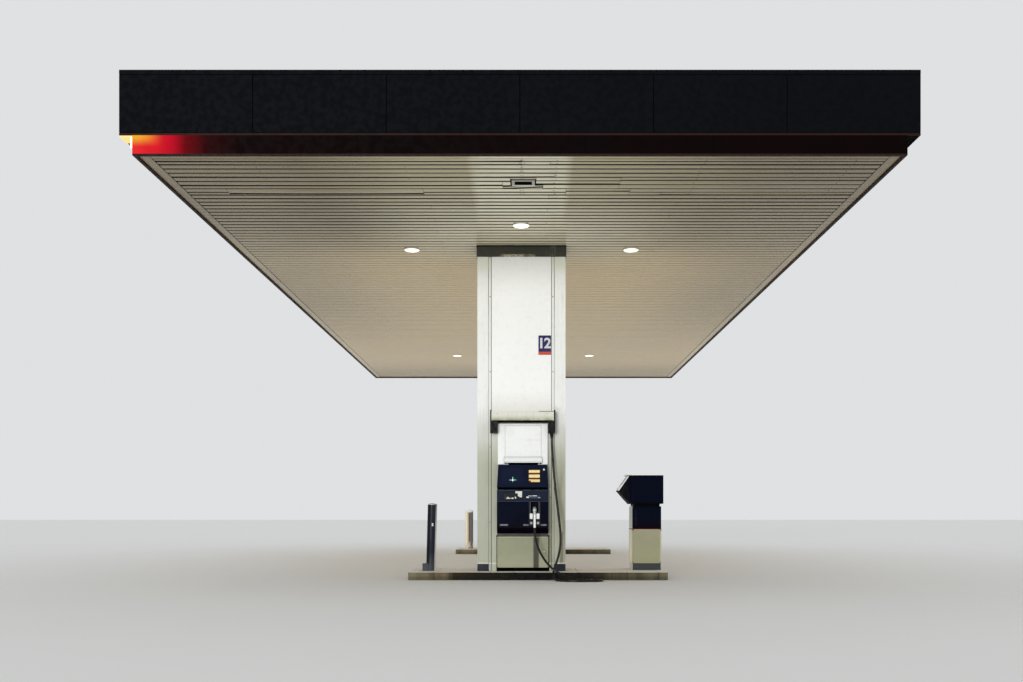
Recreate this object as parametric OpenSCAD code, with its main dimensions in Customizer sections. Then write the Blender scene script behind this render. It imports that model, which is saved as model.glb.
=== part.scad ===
// Filling station canopy: a flat roof on two pylons, each with a fuel pump on both faces,
// standing on two kerbed islands, with a payment terminal and bollards.
// +X is to the right seen from the front, +Y runs to the back and +Z is up. The origin is at
// the centre of the roof's plan, on the ground.

/* [Roof] */
// Width of the roof at its light band, across the front
roof_width = 8850; // [7000:10:10000]
// Length of the roof at its light band, from front to back
roof_length = 18400; // [17600:100:20000]
// Height of the ceiling's face above the ground
ceiling_height = 5100; // [4600:50:5600]
// Height of the light band round the roof's lower edge
band_height = 210; // [150:5:260]
// Depth of the light band, from its face inwards
band_depth = 40; // [25:5:80]
// Height of the fascia above the light band
fascia_height = 750; // [700:10:1000]
// Thickness of a fascia panel
fascia_depth = 40; // [20:5:80]
// How far the side fascias stand out past the light band
eaves_overhang = 150; // [100:5:300]
// Thickness of the plate that closes a side fascia from below
eaves_plate = 12; // [4:1:30]

/* [Roof frame] */
// Clear height between the ceiling's face and the spine beam
roof_void = 300; // [260:10:400]
// Height of the spine beam
spine_height = 400; // [330:10:460]
// Width of the spine beam
spine_width = 200; // [120:10:300]
// Height of a cross beam
cross_height = 260; // [200:10:300]
// Width of a cross beam
cross_width = 120; // [80:10:160]
// Number of cross beams on each side
cross_count = 7; // [5:1:9]
// Distance from the roof's end to the first cross beam
cross_inset = 1100; // [600:50:1500]
// Fall of the roof sheet from ridge to eaves
roof_fall = 100; // [40:10:200]
// Thickness of the roof sheet
sheet_thickness = 40; // [20:5:80]
// Number of ribs across the roof sheet, from its front to its back
rib_count = 60; // [20:1:80]
// Height of a roof rib
rib_height = 30; // [15:1:45]
// Width of a roof rib at its foot
rib_foot = 70; // [40:2:100]
// Width of a roof rib at its crown
rib_crown = 28; // [10:2:38]

/* [Ceiling] */
// Thickness of the ceiling's backing panel
ceiling_thickness = 20; // [8:1:40]
// Thickness of the ceiling boards and of the border round them
board_thickness = 12; // [6:1:20]
// Width of the plain border along the sides of the ceiling boards
border_width = 125; // [100:5:250]
// Width of the plain border at the ends of the ceiling boards
end_border_width = 120; // [80:5:250]
// Distance of the side lamps from the centre line
side_lamp_x = 1700; // [1200:50:3000]
// Distance from a pylon's centre out to the lamp on the centre line
axis_lamp_out = 1300; // [800:50:1700]
// Outer radius of a lamp's can
can_radius = 100; // [60:2:110]
// Height of a lamp's can above the ceiling's face
can_height = 150; // [80:5:200]
// Wall of a lamp's can
can_wall = 8; // [3:1:12]
// How far a lamp's rim reaches past its can
rim_width = 20; // [10:1:40]
// How far a lamp's rim hangs below the ceiling's face
rim_drop = 10; // [8:1:20]
// Thickness of a lamp's lens
lens_thickness = 6; // [3:1:7]
// How far a lamp's lens laps over the wall of its can
lens_lap = 4; // [1:0.5:6]
// Width of the ceiling hatch's frame
hatch_width = 286; // [220:2:400]
// Depth of the ceiling hatch's frame, front to back
hatch_depth = 200; // [160:5:300]
// Width of the flange round the hatch
hatch_flange = 32; // [25:1:40]
// Height of the hatch's box above the ceiling's face
hatch_height = 90; // [50:5:150]
// Wall of the hatch's box
hatch_wall = 6; // [3:1:10]
// Distance of the hatch from the roof's front
hatch_inset = 1000; // [600:10:1500]
// Sideways place of the hatch
hatch_x = 36; // [-400:2:400]

/* [Pylons] */
// Distance between the two pylons' centres
pylon_spacing = 10200; // [9500:50:11000]
// Width of a pylon
pylon_width = 1350; // [1300:10:1500]
// Depth of a pylon
pylon_depth = 450; // [400:5:700]
// Thickness of a pylon's cladding
cladding = 30; // [15:1:40]
// Wall of a pylon's steel core
core_wall = 10; // [6:1:20]
// Width of the cladding's corner strips on a pylon's faces
corner_strip = 172; // [120:2:174]
// Half width of the panel between the corner strips
face_half = 457; // [440:1:470]
// Height of the collar under the ceiling
collar_height = 170; // [100:5:250]
// How far the collar stands out past the cladding
collar_lip = 12; // [5:1:40]
// Height of the dark plinth under the corner strips
plinth_height = 110; // [60:5:150]

/* [Pumps] */
// Sideways place of a pump from its pylon's centre
pump_shift = 20; // [0:5:20]
// Half width of a pump's cabinet
pump_half = 392; // [360:2:400]
// How far a pump's cabinet stands out from its pylon
pump_depth = 150; // [140:5:220]
// Height of the foot of a pump's cabinet
pump_bottom = 700; // [680:5:740]
// Height of the cabinet's shoulder, where its upper band starts
pump_shoulder = 1190; // [1180:5:1230]
// Height of the top of the cabinet's band
pump_top = 1360; // [1330:5:1370]
// How far the cabinet's band lies behind the cabinet's face
band_setback = 30; // [10:5:60]
// How far the cabinet's face draws back at its foot
pump_undercut = 40; // [10:5:80]
// Height over which the cabinet's face draws back
pump_toe = 80; // [40:5:120]
// Height of the lower edge of the display head
head_bottom = 1400; // [1380:5:1450]
// Height of the top of the display head
head_top = 1740; // [1700:5:1745]
// Half width of the display head at its top
head_half = 373; // [350:1:380]
// How far the display head stands out at its foot
head_depth = 140; // [100:5:200]
// How far the display head leans back towards its top
head_lean = 50; // [10:5:70]
// Height of the lower edge of the sign panel
sign_bottom = 1750; // [1746:2:1800]
// Height of the top of the sign panel
sign_top = 2370; // [2300:5:2385]
// Half width of the sign panel
sign_half = 379; // [350:1:382]
// Thickness of the sign panel
sign_depth = 60; // [30:5:100]
// Height of the lower edge of the hose arm box
arm_bottom = 2400; // [2390:5:2450]
// Height of the hose arm box
arm_height = 150; // [100:5:200]
// Half width of the hose arm box
arm_half = 472; // [460:2:500]
// How far the hose arm box stands out from the pylon
arm_depth = 200; // [180:5:300]
// Width of a hose bracket under the arm box
bracket_width = 108; // [70:2:110]
// Height of a hose bracket
bracket_height = 175; // [120:5:200]
// Depth of a hose bracket
bracket_depth = 130; // [80:5:140]
// Thickness of the bracket's plate beside the arm box
bracket_plate = 22; // [6:1:30]
// How far the bracket's plate stands up past the arm box
bracket_rise = 20; // [0:5:60]
// Height of the foot of the service door above the ground
door_bottom = 175; // [150:5:200]
// Height of the top of the service door
door_top = 655; // [600:5:670]
// Thickness of the service door
door_depth = 25; // [10:1:40]
// Width of a pump's number plate
plate_width = 192; // [120:2:200]
// Height of a pump's number plate
plate_height = 296; // [200:2:320]
// Height of the foot of the number plate
plate_bottom = 3430; // [3000:10:4000]
// Thickness of the number plate
plate_depth = 6; // [3:1:12]
// Distance of the number plate from the right edge of its panel
plate_inset = 5; // [2:1:30]

/* [Nozzle] */
// Sideways place of the nozzle boot from the pylon's centre
boot_x = 200; // [120:5:230]
// Width of the nozzle boot
boot_width = 180; // [150:2:220]
// Height of the foot of the nozzle boot
boot_bottom = 810; // [790:5:830]
// How far the nozzle boot stands out from the cabinet
boot_depth = 25; // [15:1:40]
// Width of the boot's pocket
pocket_width = 112; // [80:2:130]
// Height of the boot's pocket
pocket_height = 150; // [130:2:170]
// Depth of the boot's pocket behind the boot's face
pocket_depth = 95; // [70:5:120]
// Height of the boot above its pocket
pocket_margin = 10; // [5:1:20]
// Width of the nozzle's body
nozzle_width = 56; // [40:2:70]
// Height of the nozzle's body
nozzle_head = 80; // [50:5:110]
// Radius of the nozzle's grip
grip_radius = 20; // [12:1:28]
// Finger room between the nozzle's grip and the boot
grip_gap = 12; // [6:1:30]
// Room left behind the nozzle's body in the pocket
spout_gap = 15; // [5:1:40]
// Room between the nozzle's grip and a cheek of its cradle
cradle_gap = 8; // [4:1:15]
// Width of a cheek of the nozzle's cradle
cheek_width = 45; // [20:1:50]
// Height of the cheeks' lower ends
cheek_bottom = 835; // [830:5:870]
// Height of the cheeks' tops
cheek_top = 1000; // [960:5:1010]
// How far a cheek stands out from the boot at its top
cheek_depth = 50; // [30:5:70]
// How far a cheek stands out from the boot at its lower end
cheek_foot = 30; // [10:5:30]

/* [Islands] */
// Length of an island, across the roof's width
island_length = 3900; // [3800:50:4500]
// Depth of an island, front to back
island_depth = 1190; // [1100:10:1500]
// Height of an island's kerb
island_height = 120; // [80:5:140]
// Sideways place of an island's centre
island_x = 250; // [200:10:300]
// Distance of an island's centre from its pylon's, towards the middle of the roof
island_in = 55; // [0:5:100]
// Radius of an island's corners
island_corner = 40; // [20:5:150]

/* [Payment terminal] */
// Width of the terminal's head
terminal_width = 512; // [460:2:540]
// Depth of the terminal's head, front to back
terminal_depth = 542; // [480:2:560]
// Distance of the terminal's centre from the island's right end
terminal_inset = 245; // [240:5:450]
// How far the terminal's centre lies behind the front pylon's centre
terminal_in = 320; // [280:5:350]
// Height of the terminal's plinth
terminal_plinth = 104; // [60:2:140]
// How far the terminal's plinth lies back under its cabinet
terminal_toe = 6; // [2:1:40]
// Height of the terminal's lower cabinet
terminal_cabinet_height = 535; // [450:5:600]
// Height of the terminal's middle housing
terminal_waist = 355; // [300:5:450]
// Height of the recess between the middle housing and the head
terminal_recess = 40; // [15:1:60]
// Depth of the recess from the middle housing's faces
terminal_recess_depth = 20; // [8:1:50]
// Height of the terminal's head
terminal_head_height = 444; // [420:2:500]
// How much narrower the terminal's lower parts are than its head, on each side
terminal_step = 31; // [5:1:45]
// Thickness of the terminal's cap
terminal_cap_height = 20; // [10:1:50]
// How far the terminal's cap stands out past its head
terminal_cap_lip = 5; // [2:1:30]
// How far the cap reaches out over the console
terminal_cap_reach = 48; // [30:2:120]
// How far the console leans out from the terminal's head
console_out = 188; // [130:2:220]
// Depth of the console, front to back
console_depth = 400; // [300:10:440]
// How far the console's top stands out under the cap
console_brow = 25; // [10:1:35]
// Height of the console's nose above the foot of the terminal's head
console_nose = 210; // [160:5:280]
// How far the console's chin stands out
console_chin = 75; // [40:5:110]
// Height of the console's chin above the foot of the terminal's head
console_chin_height = 80; // [40:5:120]

/* [Bollards] */
// Height of the front bollard above the kerb
front_bollard_height = 1025; // [700:5:1200]
// Radius of the front bollard
front_bollard_radius = 72; // [50:1:100]
// Lean of the front bollard to the right
bollard_lean = 1.5; // [0:0.1:4]
// Height of the rear bollard above the kerb
rear_bollard_height = 975; // [700:5:1200]
// Radius of the rear bollard
rear_bollard_radius = 103; // [60:1:110]
// Wall of the rear bollard
rear_bollard_wall = 8; // [4:1:12]
// Distance of the bollards from the island's left end
bollard_inset = 300; // [200:10:500]
// How far the bollards stand outside their pylon's centre
bollard_out = 100; // [0:10:250]
// Width of the foot beside the front bollard
foot_width = 110; // [60:5:120]
// Depth of the foot beside the front bollard, front to back
foot_depth = 120; // [60:5:140]
// Height of the foot beside the front bollard
foot_height = 112; // [60:2:200]
// Distance from the front bollard's middle out to the foot's far side
foot_out = 123; // [100:1:150]

/* [Hose] */
// Diameter of the fuel hose
hose_diameter = 34; // [24:1:34]

/* [Hidden] */

// Roof, worked out from the sizes above
half_w = roof_width / 2;
half_l = roof_length / 2;
band_top = ceiling_height + band_height;
fascia_top = band_top + fascia_height;
eaves_x = half_w + eaves_overhang;
inner_x = eaves_x - fascia_depth;
inner_y = half_l - fascia_depth;
backing_z = ceiling_height + board_thickness;
spine_bottom = ceiling_height + roof_void;
spine_top = spine_bottom + spine_height;
eaves_sheet = spine_top - roof_fall;
cross_pitch = (roof_length - 2 * cross_inset) / (cross_count - 1);
rib_pitch = 2 * inner_y / rib_count;

// Pylons
pylon_y = pylon_spacing / 2;
core_x = pylon_width - 2 * cladding;
core_y = pylon_depth - 2 * cladding;
face_y = pylon_depth / 2;
collar_bottom = ceiling_height - collar_height;
plinth_top = island_height + plinth_height;
pocket_bottom = pump_shoulder - pocket_height - pocket_margin;
boot_face = face_y + pump_depth + boot_depth;
bracket_bottom = arm_bottom - bracket_height;
bracket_x = arm_half + bracket_plate - bracket_width / 2;
lens_radius = can_radius - can_wall + lens_lap;

// Islands and what stands on their ends
island_right = island_x + island_length / 2;
island_left = island_x - island_length / 2;
terminal_x = island_right - terminal_inset;
bollard_x = island_left + bollard_inset;

// Clearances
cut_gap = 2;
lens_gap = 1;
// How far a roof rib ends before the sheet's edge, and how deep it reaches into the sheet
rib_set_back = 5;
rib_root = 8;
// How far a cutting block reaches past what it cuts
through = 1;

round_fn = 64;
fine_fn = 32;
cord_fn = 10;

// Route of the fuel hose, from its bracket down over the kerb, round its loop on the ground
// and up to the nozzle
hose_points = [
    [460, -5420, 2225], [460, -5422, 2150], [463, -5428, 2040], [470, -5440, 1920],
    [480, -5455, 1780], [492, -5470, 1630], [504, -5485, 1490], [518, -5503, 1350],
    [534, -5523, 1210], [550, -5545, 1070], [566, -5568, 930], [580, -5592, 800],
    [588, -5614, 680], [587, -5636, 560], [574, -5656, 450], [548, -5674, 340],
    [515, -5688, 240], [487, -5706, 158], [476, -5748, 88], [484, -5826, 38],
    [525, -5918, 19], [602, -6000, 17], [706, -6050, 17], [825, -6066, 17], [940, -6067, 17],
    [1036, -6063, 17], [1114, -6042, 17], [1171, -5985, 17], [1192, -5907, 17],
    [1171, -5829, 17], [1114, -5772, 17], [1036, -5751, 17], [945, -5748, 19],
    [850, -5753, 28], [750, -5768, 44], [655, -5784, 72], [562, -5792, 114],
    [475, -5778, 172], [395, -5738, 248], [322, -5684, 348], [262, -5622, 465],
    [218, -5566, 605], [200, -5532, 770]
];
hose_steps = 2;

// A block centred on X and Y that stands on the height z
module block(size, z) {
    translate([-size[0] / 2, -size[1] / 2, z]) cube(size);
}

// A rectangular ring centred on X and Y
module ring(outer, inner, z, height) {
    difference() {
        block([outer[0], outer[1], height], z);
        block([inner[0], inner[1], height + 2 * through], z - through);
    }
}

// A block given by its limits along each axis
module slab(x, y, z) {
    translate([x[0], y[0], z[0]]) cube([x[1] - x[0], y[1] - y[0], z[1] - z[0]]);
}

// A flat outline in Y and Z, drawn out along X between two limits
module profile_x(points, x) {
    translate([x[0], 0, 0]) rotate([90, 0, 90]) linear_extrude(x[1] - x[0]) polygon(points);
}

// A flat outline in X and Z, drawn out along Y between two limits
module profile_y(points, y) {
    translate([0, y[1], 0]) rotate([90, 0, 0]) linear_extrude(y[1] - y[0]) polygon(points);
}

// The children at the front pylon (side -1) or at the rear one (side 1)
module at_pylon(side) {
    translate([0, side * pylon_y, 0]) children();
}

// The children, drawn for a pylon's front face, on both of its faces
module both_faces() {
    children();
    rotate([0, 0, 180]) children();
}

// The children on both faces of both pylons
module all_faces() {
    for (side = [-1, 1]) at_pylon(side) both_faces() children();
}

// The children at each of the six lamps
module at_lamps() {
    for (side = [-1, 1]) {
        for (x = [-side_lamp_x, side_lamp_x]) {
            translate([x, side * pylon_y, ceiling_height]) children();
        }
        translate([0, side * (pylon_y + axis_lamp_out), ceiling_height]) children();
    }
}

// The children at the ceiling hatch
module at_hatch() {
    translate([hatch_x, hatch_inset - half_l, ceiling_height]) children();
}

module soffit() {
    hatch_hole = [hatch_width - 2 * hatch_flange + 2 * cut_gap,
                  hatch_depth - 2 * hatch_flange + 2 * cut_gap];
    color("dimgray") difference() {
        block([roof_width - 2 * band_depth, roof_length - 2 * band_depth, ceiling_thickness],
              backing_z);
        for (side = [-1, 1]) at_pylon(side)
            block([core_x + 2 * cut_gap, core_y + 2 * cut_gap, roof_void], ceiling_height);
        at_lamps() cylinder(h = can_height, r = can_radius + cut_gap, $fn = round_fn);
        at_hatch() block([hatch_hole[0], hatch_hole[1], hatch_height], 0);
    }
}

module soffit_border() {
    outer = [roof_width - 2 * band_depth, roof_length - 2 * band_depth];
    color("lightgray")
        ring(outer, [outer[0] - 2 * border_width, outer[1] - 2 * end_border_width],
             ceiling_height, board_thickness);
}

// Light band across one end of the roof: side -1 is the front
module end_light_band(side) {
    y = side * (half_l - band_depth / 2);
    translate([0, y, 0]) block([roof_width, band_depth, band_height], ceiling_height);
}

module front_light_band() {
    color("crimson") end_light_band(-1);
}

module rear_light_band() {
    color("crimson") end_light_band(1);
}

// Light band along one side of the roof: side -1 is the left
module side_light_band(side) {
    x = side * (half_w - band_depth / 2);
    translate([x, 0, 0])
        block([band_depth, roof_length - 2 * band_depth, band_height], ceiling_height);
}

module left_light_band() {
    color("crimson") side_light_band(-1);
}

module right_light_band() {
    color("crimson") side_light_band(1);
}

// Fascia across one end of the roof, flush with the light band under it
module end_fascia(side) {
    y = side * (half_l - fascia_depth / 2);
    translate([0, y, 0]) block([2 * eaves_x, fascia_depth, fascia_height], band_top);
}

module front_fascia() {
    color("midnightblue") end_fascia(-1);
}

module rear_fascia() {
    color("midnightblue") end_fascia(1);
}

// Fascia along the right side, folded in over the light band at its foot
module side_fascia() {
    profile_y([
        [half_w - band_depth, band_top],
        [eaves_x, band_top],
        [eaves_x, fascia_top],
        [inner_x, fascia_top],
        [inner_x, band_top + eaves_plate],
        [half_w - band_depth, band_top + eaves_plate]
    ], [-inner_y, inner_y]);
}

module left_fascia() {
    color("midnightblue") mirror([1, 0, 0]) side_fascia();
}

module right_fascia() {
    color("midnightblue") side_fascia();
}

// Rib on the right half of the roof sheet, from the flat ridge down to the eaves, with its
// flanks carried down into the sheet
module roof_rib(ridge) {
    run = inner_x - ridge;
    slope = atan(roof_fall / run);
    flare = (rib_foot - rib_crown) / 2 / rib_height;
    root_half = rib_foot / 2 + flare * rib_root;
    translate([ridge, 0, spine_top + sheet_thickness]) rotate([0, slope, 0])
        profile_x([
            [-root_half, -rib_root],
            [root_half, -rib_root],
            [rib_crown / 2, rib_height],
            [-rib_crown / 2, rib_height]
        ], [-ridge / 2, run / cos(slope) - rib_set_back]);
}

// The sheet falls from a flat ridge over the spine beam to both eaves
module roof_sheet() {
    ridge = spine_width / 2;
    color("gray") for (turn = [0, 180], i = [0:rib_count - 1])
        rotate([0, 0, turn]) translate([0, (i + 0.5) * rib_pitch - inner_y, 0]) roof_rib(ridge);
    color("gray") profile_y([
        [-inner_x, eaves_sheet],
        [-ridge, spine_top],
        [ridge, spine_top],
        [inner_x, eaves_sheet],
        [inner_x, eaves_sheet + sheet_thickness],
        [ridge, spine_top + sheet_thickness],
        [-ridge, spine_top + sheet_thickness],
        [-inner_x, eaves_sheet + sheet_thickness]
    ], [-inner_y, inner_y]);
}

module spine_beam() {
    color("slategray") block([spine_width, 2 * inner_y, spine_height], spine_bottom);
}

module cross_beams() {
    length = inner_x - spine_width / 2;
    color("slategray")
        for (side = [-1, 1], i = [0:cross_count - 1])
            translate([side * (spine_width + length) / 2,
                       cross_inset - half_l + i * cross_pitch, 0])
                block([length, cross_width, cross_height], eaves_sheet - cross_height);
}

// A shallow box that opens downwards, with a flange round its mouth
module ceiling_hatch() {
    box_x = hatch_width - 2 * hatch_flange;
    box_y = hatch_depth - 2 * hatch_flange;
    color("silver") at_hatch() difference() {
        union() {
            block([hatch_width, hatch_depth, rim_drop / 2 + board_thickness], -rim_drop / 2);
            block([box_x, box_y, hatch_height], 0);
        }
        block([box_x - 2 * hatch_wall, box_y - 2 * hatch_wall, hatch_height], -hatch_wall);
    }
}

// Lamp can with the rim that holds its lens
module downlight_cans() {
    color("white") at_lamps() rotate_extrude($fn = round_fn) polygon([
        [lens_radius + lens_gap, -rim_drop],
        [can_radius + rim_width, -rim_drop],
        [can_radius + rim_width, board_thickness],
        [can_radius, board_thickness],
        [can_radius, can_height],
        [0, can_height],
        [0, can_height - can_wall],
        [can_radius - can_wall, can_height - can_wall],
        [can_radius - can_wall, 0],
        [lens_radius + lens_gap, 0]
    ]);
}

module downlight_lenses() {
    color("lightyellow") at_lamps()
        translate([0, 0, -lens_thickness])
            cylinder(h = lens_thickness, r = lens_radius, $fn = round_fn);
}

// Steel cores that carry the roof, hidden behind the cladding
module pylon_cores() {
    color("slategray") for (side = [-1, 1]) at_pylon(side)
        ring([core_x, core_y], [core_x - 2 * core_wall, core_y - 2 * core_wall],
             island_height, spine_bottom - island_height);
}

// Channel round the right end of a pylon, between two heights
module end_channel(z) {
    difference() {
        slab([pylon_width / 2 - corner_strip, pylon_width / 2], [-face_y, face_y], z);
        block([core_x, core_y, z[1] - z[0] + 2 * through], z[0] - through);
    }
}

// Corner channels, and the panels behind the pumps
module pylon_cladding() {
    both_faces() {
        end_channel([plinth_top, collar_bottom]);
        slab([-face_half, face_half], [-face_y, -core_y / 2], [island_height, arm_bottom]);
    }
}

module front_pylon_cladding() {
    color("honeydew") at_pylon(-1) pylon_cladding();
}

module rear_pylon_cladding() {
    color("honeydew") at_pylon(1) pylon_cladding();
}

module centre_panels() {
    both_faces()
        slab([-face_half, face_half], [-face_y, -core_y / 2], [arm_bottom, collar_bottom]);
}

module front_centre_panels() {
    color("white") at_pylon(-1) centre_panels();
}

module rear_centre_panels() {
    color("white") at_pylon(1) centre_panels();
}

// Limits of a pump piece along X
function pump_x(half) = [pump_shift - half, pump_shift + half];

module arm_boxes() {
    both_faces()
        slab(pump_x(arm_half), [-face_y - arm_depth, -face_y],
             [arm_bottom, arm_bottom + arm_height]);
}

module front_arm_boxes() {
    color("beige") at_pylon(-1) arm_boxes();
}

module rear_arm_boxes() {
    color("beige") at_pylon(1) arm_boxes();
}

// Display head: it widens towards its foot and its face leans back
module display_heads() {
    both_faces() intersection() {
        profile_y([
            [pump_shift - pump_half, head_bottom],
            [pump_shift + pump_half, head_bottom],
            [pump_shift + head_half, head_top],
            [pump_shift - head_half, head_top]
        ], [-face_y - head_depth, -face_y]);
        profile_x([
            [-face_y - head_depth, head_bottom],
            [-face_y, head_bottom],
            [-face_y, head_top],
            [-face_y - head_depth + head_lean, head_top]
        ], pump_x(pump_half));
    }
}

module front_display_heads() {
    color("midnightblue") at_pylon(-1) display_heads();
}

module rear_display_heads() {
    color("midnightblue") at_pylon(1) display_heads();
}

// Pump cabinet with its set-back band, its undercut foot and the boot's pocket
module pump_cabinets() {
    out = face_y + pump_depth;
    both_faces() difference() {
        profile_x([
            [-out + pump_undercut, pump_bottom],
            [-face_y, pump_bottom],
            [-face_y, pump_top],
            [-out + band_setback, pump_top],
            [-out + band_setback, pump_shoulder],
            [-out, pump_shoulder],
            [-out, pump_bottom + pump_toe]
        ], pump_x(pump_half));
        slab([boot_x - pocket_width / 2, boot_x + pocket_width / 2],
             [-boot_face, -boot_face + pocket_depth],
             [pocket_bottom, pocket_bottom + pocket_height]);
    }
}

module front_pump_cabinets() {
    color("navy") at_pylon(-1) pump_cabinets();
}

module rear_pump_cabinets() {
    color("navy") at_pylon(1) pump_cabinets();
}

module pylon_collars() {
    color("darkslategray") for (side = [-1, 1]) at_pylon(side)
        ring([pylon_width + 2 * collar_lip, pylon_depth + 2 * collar_lip], [core_x, core_y],
             collar_bottom, collar_height);
}

module pylon_plinths() {
    color("darkslategray") all_faces() end_channel([island_height, plinth_top]);
}

module sign_panels() {
    color("white") all_faces()
        slab(pump_x(sign_half), [-face_y - sign_depth, -face_y], [sign_bottom, sign_top]);
}

module service_doors() {
    color("tan") all_faces()
        slab(pump_x(pump_half), [-face_y - door_depth, -face_y], [door_bottom, door_top]);
}

// Brackets under the ends of an arm box, each with a plate that runs up beside the box
module hose_brackets() {
    plate_x = arm_half + bracket_plate / 2;
    plate_top = arm_bottom + arm_height + bracket_rise;
    color("dimgray") all_faces() for (end = [-1, 1])
        translate([pump_shift, -face_y - arm_depth / 2, 0]) {
            translate([end * bracket_x, 0, 0])
                block([bracket_width, bracket_depth, bracket_height], bracket_bottom);
            translate([end * plate_x, 0, 0])
                block([bracket_plate, bracket_depth, plate_top - bracket_bottom],
                      bracket_bottom);
        }
}

module number_plates() {
    right = face_half - plate_inset;
    color("navy") all_faces()
        slab([right - plate_width, right], [-face_y - plate_depth, -face_y],
             [plate_bottom, plate_bottom + plate_height]);
}

// Frame on a pump cabinet that a nozzle stands in
module nozzle_boots() {
    color("black") all_faces() difference() {
        slab([boot_x - boot_width / 2, boot_x + boot_width / 2],
             [-boot_face, -boot_face + boot_depth], [boot_bottom, pump_shoulder]);
        slab([boot_x - pocket_width / 2, boot_x + pocket_width / 2],
             [-boot_face - through, -boot_face + boot_depth + through],
             [pocket_bottom, pocket_bottom + pocket_height]);
    }
}

// Cheeks on a boot that the nozzle's grip hangs between
module nozzle_cradles() {
    near = grip_radius + cradle_gap;
    color("white") all_faces() for (end = [-1, 1])
        translate([boot_x + end * (near + cheek_width / 2), 0, 0]) profile_x([
            [-boot_face - cheek_foot, cheek_bottom],
            [-boot_face, cheek_bottom],
            [-boot_face, cheek_top],
            [-boot_face - cheek_depth, cheek_top]
        ], [-cheek_width / 2, cheek_width / 2]);
}

// Point between b and c on the smooth curve through a, b, c and d, at the share t
function smooth(a, b, c, d, t) =
    0.5 * (2 * b + (c - a) * t + (2 * a - 5 * b + 4 * c - d) * t * t
           + (3 * b - a - 3 * c + d) * t * t * t);

function at_index(points, i) = points[max(0, min(i, len(points) - 1))];

// Every route point with steps - 1 more between each two
function refine(points, steps) = [
    for (i = [0:len(points) - 2], k = [0:steps - 1])
        smooth(at_index(points, i - 1), points[i], points[i + 1], at_index(points, i + 2),
               k / steps),
    points[len(points) - 1]
];

function unit(v) = v / norm(v);

// Direction of travel at each point of a route
function headings(points) = [
    for (i = [0:len(points) - 1])
        unit(at_index(points, i + 1) - at_index(points, i - 1))
];

// Sideways directions carried along a route without twisting
function carried(directions, i, side) =
    let (flat = unit(side - (side * directions[i]) * directions[i]))
    i == len(directions) - 1 ? [flat] : concat([flat], carried(directions, i + 1, flat));

// Round tube along a route, with flat ends square to it
module tube(points, radius, sides) {
    directions = headings(points);
    across = carried(directions, 0, [1, 0, 0]);
    count = len(points);
    rings = [
        for (i = [0:count - 1], k = [0:sides - 1])
            points[i] + radius * (cos(360 * k / sides) * across[i]
                                  + sin(360 * k / sides) * cross(directions[i], across[i]))
    ];
    walls = [
        for (i = [0:count - 2], k = [0:sides - 1])
            let (n = (k + 1) % sides)
            [i * sides + k, (i + 1) * sides + k, (i + 1) * sides + n, i * sides + n]
    ];
    first = [for (k = [0:sides - 1]) k];
    last = [for (k = [sides - 1:-1:0]) (count - 1) * sides + k];
    polyhedron(points = rings, faces = concat(walls, [first, last]));
}

module fuel_hose() {
    color("black") tube(refine(hose_points, hose_steps), hose_diameter / 2, cord_fn);
}

// Nozzle standing in the front boot: its body reaches into the pocket and its grip hangs
module fuel_nozzle() {
    grip_y = boot_face + grip_radius + grip_gap;
    body_y = [-grip_y - grip_radius, -boot_face + pocket_depth - spout_gap];
    end = hose_points[len(hose_points) - 1];
    color("silver") at_pylon(-1) {
        slab([boot_x - nozzle_width / 2, boot_x + nozzle_width / 2], body_y,
             [pocket_bottom, pocket_bottom + nozzle_head]);
        translate([boot_x, -grip_y, end[2]])
            cylinder(h = pocket_bottom + nozzle_head / 2 - end[2], r = grip_radius, $fn = fine_fn);
    }
}

// Kerbed island under one pylon: side -1 is the front
module island(side) {
    r = island_corner;
    x = island_length / 2;
    y = island_depth / 2;
    translate([island_x, side * (pylon_y - island_in), 0]) {
        block([island_length, island_depth - 2 * r, island_height], 0);
        block([island_length - 2 * r, island_depth, island_height], 0);
        for (i = [-1, 1], j = [-1, 1])
            translate([i * (x - r), j * (y - r), 0])
                cylinder(h = island_height, r = r, $fn = round_fn);
    }
}

module front_island() {
    color("darkgray") island(-1);
}

module rear_island() {
    color("darkgray") island(1);
}

// Payment terminal on the front island
terminal_y = terminal_in - pylon_y;
terminal_low = island_height + terminal_plinth + terminal_cabinet_height;
terminal_neck = terminal_low + terminal_waist + terminal_recess;
terminal_top = terminal_neck + terminal_head_height;

module at_terminal() {
    translate([terminal_x, terminal_y, 0]) children();
}

module terminal_cabinet() {
    wide = terminal_width - 2 * terminal_step;
    deep = terminal_depth - 2 * terminal_step;
    color("darkkhaki") at_terminal() {
        block([wide - 2 * terminal_toe, deep - 2 * terminal_toe, terminal_plinth],
              island_height);
        block([wide, deep, terminal_cabinet_height], island_height + terminal_plinth);
    }
}

// Middle housing, the recess over it and the head
module terminal_housing() {
    wide = terminal_width - 2 * terminal_step;
    deep = terminal_depth - 2 * terminal_step;
    color("midnightblue") at_terminal() {
        block([wide, deep, terminal_waist], terminal_low);
        block([wide - 2 * terminal_recess_depth, deep - 2 * terminal_recess_depth,
               terminal_recess], terminal_low + terminal_waist);
        block([terminal_width, terminal_depth, terminal_head_height], terminal_neck);
    }
}

// Hooded console on the terminal's left side: a leaning lid with its chin tucked under it
module terminal_console() {
    side = -terminal_width / 2;
    color("midnightblue") at_terminal() profile_y([
        [side, terminal_neck],
        [side, terminal_top],
        [side - console_brow, terminal_top],
        [side - console_out, terminal_neck + console_nose],
        [side - console_chin, terminal_neck + console_chin_height]
    ], [-console_depth / 2, console_depth / 2]);
}

module terminal_cap() {
    y = terminal_depth / 2 + terminal_cap_lip;
    color("lightgray") at_terminal()
        slab([-terminal_width / 2 - terminal_cap_reach, terminal_width / 2 + terminal_cap_lip],
             [-y, y], [terminal_top, terminal_top + terminal_cap_height]);
}

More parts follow.
